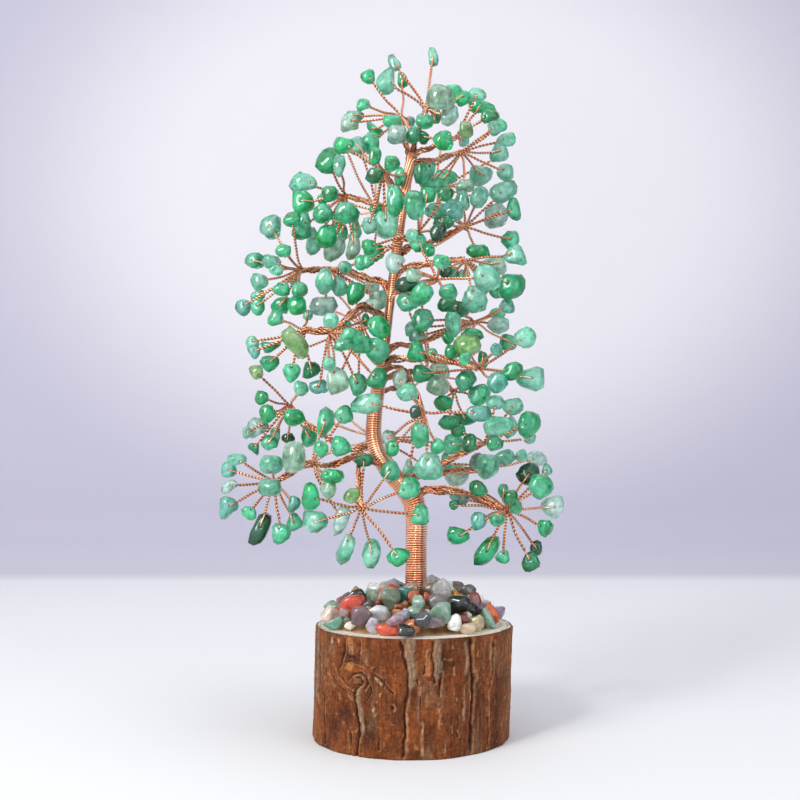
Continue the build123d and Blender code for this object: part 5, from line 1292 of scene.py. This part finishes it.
def glue_surface():
    """The glue's mound as rings from the trunk's foot to the mound's edge. A point's height is that of a ball whose
    cap is as high and wide as the mound, less broad and fine waves that fade out at the edge. A ring under each
    edge closes it."""
    ball = (MOUND_RADIUS**2 + MOUND_RISE**2) / (2 * MOUND_RISE)
    centre = STUMP_HEIGHT + MOUND_RISE - ball
    foot, _, foot_radius = (value[0] for value in trunk_at(STUMP_HEIGHT))
    angle, share = np.meshgrid(np.arange(120) * TURN / 120, np.linspace(0, 1, 26) ** 0.9)
    reach = (1 - share) * (foot_radius - 0.9) + share * (MOUND_RADIUS - 0.15)
    x = (1 - share) * foot[0] + reach * np.cos(angle)
    y = reach * np.sin(angle)
    broad, fine = (value_noise(angle / TURN, share, *layer) for layer in GLUE_WAVES)
    waves = (0.7 * broad + 0.3 * fine) * np.clip((1 - share) * 8, 0, 1)
    z = np.maximum(centre + np.sqrt(ball**2 - x * x - y * y) - WAVE_DEPTH * waves, STUMP_HEIGHT + 0.05)
    top = np.stack([x, y, z], axis=-1)
    bottom = top[[-1, 0]].copy()
    bottom[..., 2] = STUMP_HEIGHT + 0.01
    glue = Surface()
    glue.grid(np.concatenate([top, bottom])[::-1], close_rows=True)
    return glue


# Stage


def stage_sheet():
    """The floor and the wall behind it as one sheet, with a quarter circle between them."""
    turn = np.linspace(0, math.pi / 2, 12)
    depth = np.concatenate([[FLOOR_START], WALL_DEPTH - BEND_RADIUS + BEND_RADIUS * np.sin(turn), [WALL_DEPTH]])
    rise = np.concatenate([[0.0], BEND_RADIUS - BEND_RADIUS * np.cos(turn), [WALL_HEIGHT]])
    across = np.linspace(-STAGE_HALF, STAGE_HALF, 5)
    points = np.stack(np.broadcast_arrays(across[None, :], depth[:, None], rise[:, None]), axis=-1)
    index = np.arange(points.shape[0] * points.shape[1]).reshape(points.shape[:2])
    faces = np.stack([index[:-1, :-1], index[:-1, 1:], index[1:, 1:], index[1:, :-1]], axis=-1).reshape(-1, 4)
    mesh = bpy.data.meshes.new("stage")
    mesh.from_pydata(points.reshape(-1, 3).tolist(), [], faces.tolist())
    mesh.polygons.foreach_set("use_smooth", np.ones(len(faces), dtype=bool))
    return mesh


def paper_material(stage):
    """Plain matt paper: pale on the floor, passing into a bluer wall with a painted soft pool of light. It gives the
    eye a calm ground without an edge."""
    material, tree, place_on = new_material("plain_paper_stage")
    parts = add(tree, "ShaderNodeSeparateXYZ", {"Vector": place_on})
    rising = add(tree, "ShaderNodeMapRange", {
        "Value": parts.outputs["Y"], "From Min": WALL_DEPTH - 0.12, "From Max": WALL_DEPTH - 0.01})
    pool = add(tree, "ShaderNodeMapping", {
        "Vector": place_on, "Location": (0.03, WALL_DEPTH, 0.37), "Scale": (0.5, 1.0, 0.36)}, vector_type="TEXTURE")
    glow = add(tree, "ShaderNodeTexGradient", {"Vector": pool.outputs["Vector"]}, gradient_type="SPHERICAL")
    painted_light_pool = add(tree, "ShaderNodeMapRange", {"Value": glow.outputs["Fac"], "From Max": 0.55},
                interpolation_type="SMOOTHSTEP")
    # The wall is paler in a painted pool of light round its middle.
    wall = add(tree, "ShaderNodeMix", {
        0: painted_light_pool.outputs["Result"], 6: (*stage.wall_colour, 1.0), 7: rgba("E1DFE4")}, data_type="RGBA")
    colour = add(tree, "ShaderNodeMix", {
        0: rising.outputs["Result"], 6: (*stage.floor_colour, 1.0), 7: wall.outputs[2]}, data_type="RGBA")
    shader = add(tree, "ShaderNodeBsdfPrincipled", {"Base Color": colour.outputs[2], "Roughness": 0.85})
    add(tree, "ShaderNodeOutputMaterial", {"Surface": shader.outputs[0]})
    return material


def soft_room():
    """The light from all round: even on what is matt, and brighter towards a window at the front left on what
    mirrors or lets light through. Behind the stage the camera sees it plain and pale."""
    world = bpy.data.worlds.new("soft_room")
    world.use_nodes = True
    room = world.node_tree
    room.nodes.clear()
    path = add(room, "ShaderNodeLightPath")
    shown = add(room, "ShaderNodeMath", {
        0: path.outputs["Is Glossy Ray"], 1: path.outputs["Is Transmission Ray"]}, operation="MAXIMUM")
    seen = add(room, "ShaderNodeMix", {0: path.outputs["Is Camera Ray"], 2: ROOM_STRENGTH, 3: SEEN_STRENGTH})
    side = add(room, "ShaderNodeTexCoord").outputs["Generated"]
    towards = add(room, "ShaderNodeVectorMath", {0: side, 1: WINDOW_WAY}, operation="DOT_PRODUCT")
    window = add(room, "ShaderNodeMapRange", {
        "Value": towards.outputs["Value"], "From Min": -0.3, "From Max": 0.9, **WINDOW_STRENGTHS})
    strength = add(room, "ShaderNodeMix", {0: shown.outputs[0], 2: seen.outputs[0], 3: window.outputs["Result"]})
    background = add(room, "ShaderNodeBackground", {"Color": rgba("F3F3FA"), "Strength": strength.outputs[0]})
    add(room, "ShaderNodeOutputWorld", {"Surface": background.outputs[0]})
    return world


def add_lamp(scene, name, spot, size, power, colour):
    """A soft round lamp that faces the tree's middle."""
    lamp = bpy.data.lights.new(name, "AREA")
    lamp.shape, lamp.size, lamp.energy, lamp.color = "DISK", size, power, linear(colour)
    light = bpy.data.objects.new(name, lamp)
    light.location = spot
    back = unit(np.array(spot) - LAMPS_AIM)
    light.rotation_euler = (math.acos(back[2]), 0.0, math.atan2(back[1], back[0]) + math.pi / 2)
    scene.collection.objects.link(light)


def add_camera(scene):
    """The photograph's camera: level, and shifted so that its eye line shows at its place in the frame."""
    lens = bpy.data.cameras.new("camera")
    lens.sensor_width = SENSOR
    lens.lens = FOCAL_PX / FRAME_PX * SENSOR
    lens.shift_y = (EYE_PX[1] - FRAME_PX / 2) / FRAME_PX
    camera = bpy.data.objects.new("camera", lens)
    camera.location = place(*EYE_PX, -VIEW_DISTANCE) * MM
    camera.rotation_euler = (math.pi / 2, 0.0, 0.0)
    scene.collection.objects.link(camera)
    scene.camera = camera


# Pieces as operators


class WireSettings(bpy.types.PropertyGroup):
    strand_radius: bpy.props.FloatProperty(
        name="Strand radius", description="Radius of one thin wire", default=0.27 * MM, unit="LENGTH", precision=5)
    twist_pitch: bpy.props.FloatProperty(
        name="Twist pitch", description="Length in which a stem's two strands turn once", default=2.5 * MM,
        unit="LENGTH", precision=5)
    winding_pitch: bpy.props.FloatProperty(
        name="Winding pitch", description="Rise of the trunk's winding in one turn", default=0.87 * MM,
        unit="LENGTH", precision=5)
    winding_radius: bpy.props.FloatProperty(
        name="Winding wire radius", description="Radius of the wire that winds round the trunk",
        default=0.5 * MM, unit="LENGTH", precision=5)


class StoneSettings(bpy.types.PropertyGroup):
    hole_radius: bpy.props.FloatProperty(
        name="Hole radius", description="Radius of the hole drilled through a chip", default=0.44 * MM,
        unit="LENGTH", precision=5)
    hardness: bpy.props.FloatProperty(
        name="Corner hardness", description="How sharply a stone's facets meet", default=9.0, min=3.0, max=40.0)
    fullness: bpy.props.FloatProperty(
        name="Fullness", description="Share of its facets' reach that a rounded stone fills", default=1.05,
        subtype="FACTOR", min=0.8, max=1.1)
    swelling: bpy.props.FloatProperty(
        name="Swelling", description="Share of its solid's size that a rounded chip has", default=1.08,
        subtype="FACTOR", min=0.8, max=1.2)
    gravel_swelling: bpy.props.FloatProperty(
        name="Gravel swelling", description="Share of its solid's size that a gravel stone has", default=1.12,
        subtype="FACTOR", min=0.8, max=1.2)
    gravel_hardness: bpy.props.FloatProperty(
        name="Gravel hardness", description="How sharply a gravel stone's facets meet", default=34.0, min=3.0, max=60.0)
    chip_columns: bpy.props.IntProperty(
        name="Chip columns", description="Points round a chip's hole", default=14, min=6)
    chip_rows: bpy.props.IntProperty(
        name="Chip rows", description="Rows between a chip's two mouths", default=7, min=4)
    gravel_columns: bpy.props.IntProperty(
        name="Gravel columns", description="Points round a gravel stone", default=24, min=6)
    gravel_rows: bpy.props.IntProperty(
        name="Gravel rows", description="Rows between a gravel stone's poles", default=14, min=4)


class StumpSettings(bpy.types.PropertyGroup):
    bark_columns: bpy.props.IntProperty(
        name="Bark columns", description="Points round the bark", default=760, min=90)
    bark_rows: bpy.props.IntProperty(
        name="Bark rows", description="Points up the bark", default=112, min=12)
    crack_depth: bpy.props.FloatProperty(
        name="Crack depth", description="Depth of a crack in the bark", default=1.1 * MM, unit="LENGTH", precision=5)
    bark_colour: bpy.props.FloatVectorProperty(
        name="Bark colour", description="The bark's middle brown", default=tuple(linear("713B1B")), subtype="COLOR",
        size=3, min=0, max=1)


class StageSettings(bpy.types.PropertyGroup):
    floor_colour: bpy.props.FloatVectorProperty(
        name="Floor colour", description="The plain pale floor", default=tuple(linear("ECEEEF")), subtype="COLOR",
        size=3, min=0, max=1)
    wall_colour: bpy.props.FloatVectorProperty(
        name="Wall colour", description="The plain pale backdrop", default=tuple(linear("BEBCCC")),
        subtype="COLOR", size=3, min=0, max=1)
    key_power: bpy.props.FloatProperty(
        name="Key power", description="Power of the large soft lamp", default=8.7, unit="POWER")


def settings_of(context):
    scene = context.scene
    return scene.tree_wire, scene.tree_stone, scene.tree_stump, scene.tree_stage


class TreeBranches(bpy.types.Operator):
    """Makes each branch's wires and its drilled chips"""
    bl_idname = "gemtree.branches"
    bl_label = "Branches"

    def execute(self, context):
        wire, stone, _, _ = settings_of(context)
        prepare_materials()
        for number, (name, rows) in enumerate(LIMBS.items()):
            make_branch(name, rows, wire, stone, np.random.default_rng(100 + number))
        return {"FINISHED"}


class TreeTrunk(bpy.types.Operator):
    """Makes the trunk's bundle of thick strands and the fine wire wound round it"""
    bl_idname = "gemtree.trunk"
    bl_label = "Trunk"

    def execute(self, context):
        wire, _, _, _ = settings_of(context)
        prepare_materials()
        make_strands(wire)
        for number, (name, (low_px, high_px)) in enumerate(WINDINGS_PX.items()):
            make_winding(name, low_px, high_px, wire, np.random.default_rng(40 + number))
        return {"FINISHED"}


class TreeStump(bpy.types.Operator):
    """Makes the bark with its cracks, flakes and fibres, and finishes the sawn wood"""
    bl_idname = "gemtree.stump"
    bl_label = "Stump"

    def execute(self, context):
        _, _, stump, _ = settings_of(context)
        prepare_materials()
        make_piece("cracked_bark", bark_surface(stump), MATERIALS["bark"], "bark", "bark")
        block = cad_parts["wood_block"]
        block.data.materials.clear()
        block.data.materials.append(MATERIALS["wood"])
        return {"FINISHED"}


class TreeGlue(bpy.types.Operator):
    """Makes the wavy mound of amber glue"""
    bl_idname = "gemtree.glue"
    bl_label = "Glue"

    def execute(self, context):
        prepare_materials()
        make_piece("amber_glue", glue_surface(), MATERIALS["glue"], "clear_glue", "glue_bed")
        return {"FINISHED"}


class TreeGravel(bpy.types.Operator):
    """Makes the mixed gravel, one piece for each mineral"""
    bl_idname = "gemtree.gravel"
    bl_label = "Gravel"

    def execute(self, context):
        _, stone, _, _ = settings_of(context)
        prepare_materials()
        for number, (node, tones) in enumerate(GRAVEL_TONES.items()):
            random = np.random.default_rng(60 + number)
            shapes = [stone_grid(*solid, stone, random) for solid in separate_solids(node)]
            shapes.sort(key=lambda shape: (round(shape[0][2], 1), round(shape[0][0], 1)))
            middles = [middle for middle, _, _ in shapes]
            picked = pick_tones(middles, GRAVEL_PX, dict.fromkeys(tones, 1), random, reach_px=4)
            gravel = Surface()
            for (_, points, rim), tone in zip(shapes, picked):
                gravel.grid(points, linear(tone) * random.uniform(0.9, 1.1), rim, ends=True)
            slot = node[len("gravel_"):]
            make_piece(node + "_stones", gravel, MATERIALS[node], slot, node)
        return {"FINISHED"}


class TreeStage(bpy.types.Operator):
    """Makes the plain floor and backdrop, the lamps and the camera"""
    bl_idname = "gemtree.stage"
    bl_label = "Stage"

    def execute(self, context):
        *_, stage = settings_of(context)
        scene = context.scene
        mesh = stage_sheet()
        mesh.materials.append(paper_material(stage))
        floor = bpy.data.objects.new("stage", mesh)
        scene.collection.objects.link(floor)
        scene.world = soft_room()
        for name, (spot, size, share, colour) in LAMPS.items():
            add_lamp(scene, name, spot, size, stage.key_power * share, colour)
        add_camera(scene)
        scene.view_settings.view_transform = "Standard"
        return {"FINISHED"}


class TreePanel(bpy.types.Panel):
    bl_idname = "VIEW3D_PT_gemtree"
    bl_label = "Gemstone tree"
    bl_space_type = "VIEW_3D"
    bl_region_type = "UI"
    bl_category = "Gemstone tree"

    def draw(self, context):
        for group in settings_of(context):
            box = self.layout.box()
            for key in group.__annotations__:
                box.prop(group, key)
        for operator in OPERATORS:
            self.layout.operator(operator.bl_idname)


OPERATORS = (TreeStage, TreeStump, TreeGlue, TreeGravel, TreeTrunk, TreeBranches)
GROUPS = {"tree_wire": WireSettings, "tree_stone": StoneSettings, "tree_stump": StumpSettings,
          "tree_stage": StageSettings}


def register():
    for made in (*GROUPS.values(), *OPERATORS, TreePanel):
        bpy.utils.register_class(made)
    for name, group in GROUPS.items():
        setattr(bpy.types.Scene, name, bpy.props.PointerProperty(type=group))


def unregister():
    for name in GROUPS:
        delattr(bpy.types.Scene, name)
    for made in reversed((*GROUPS.values(), *OPERATORS, TreePanel)):
        bpy.utils.unregister_class(made)


def main():
    """Makes every piece in order."""
    register()
    bpy.ops.gemtree.stage()
    bpy.ops.gemtree.stump()
    bpy.ops.gemtree.glue()
    bpy.ops.gemtree.gravel()
    bpy.ops.gemtree.trunk()
    bpy.ops.gemtree.branches()


if __name__ == "__main__":
    main()
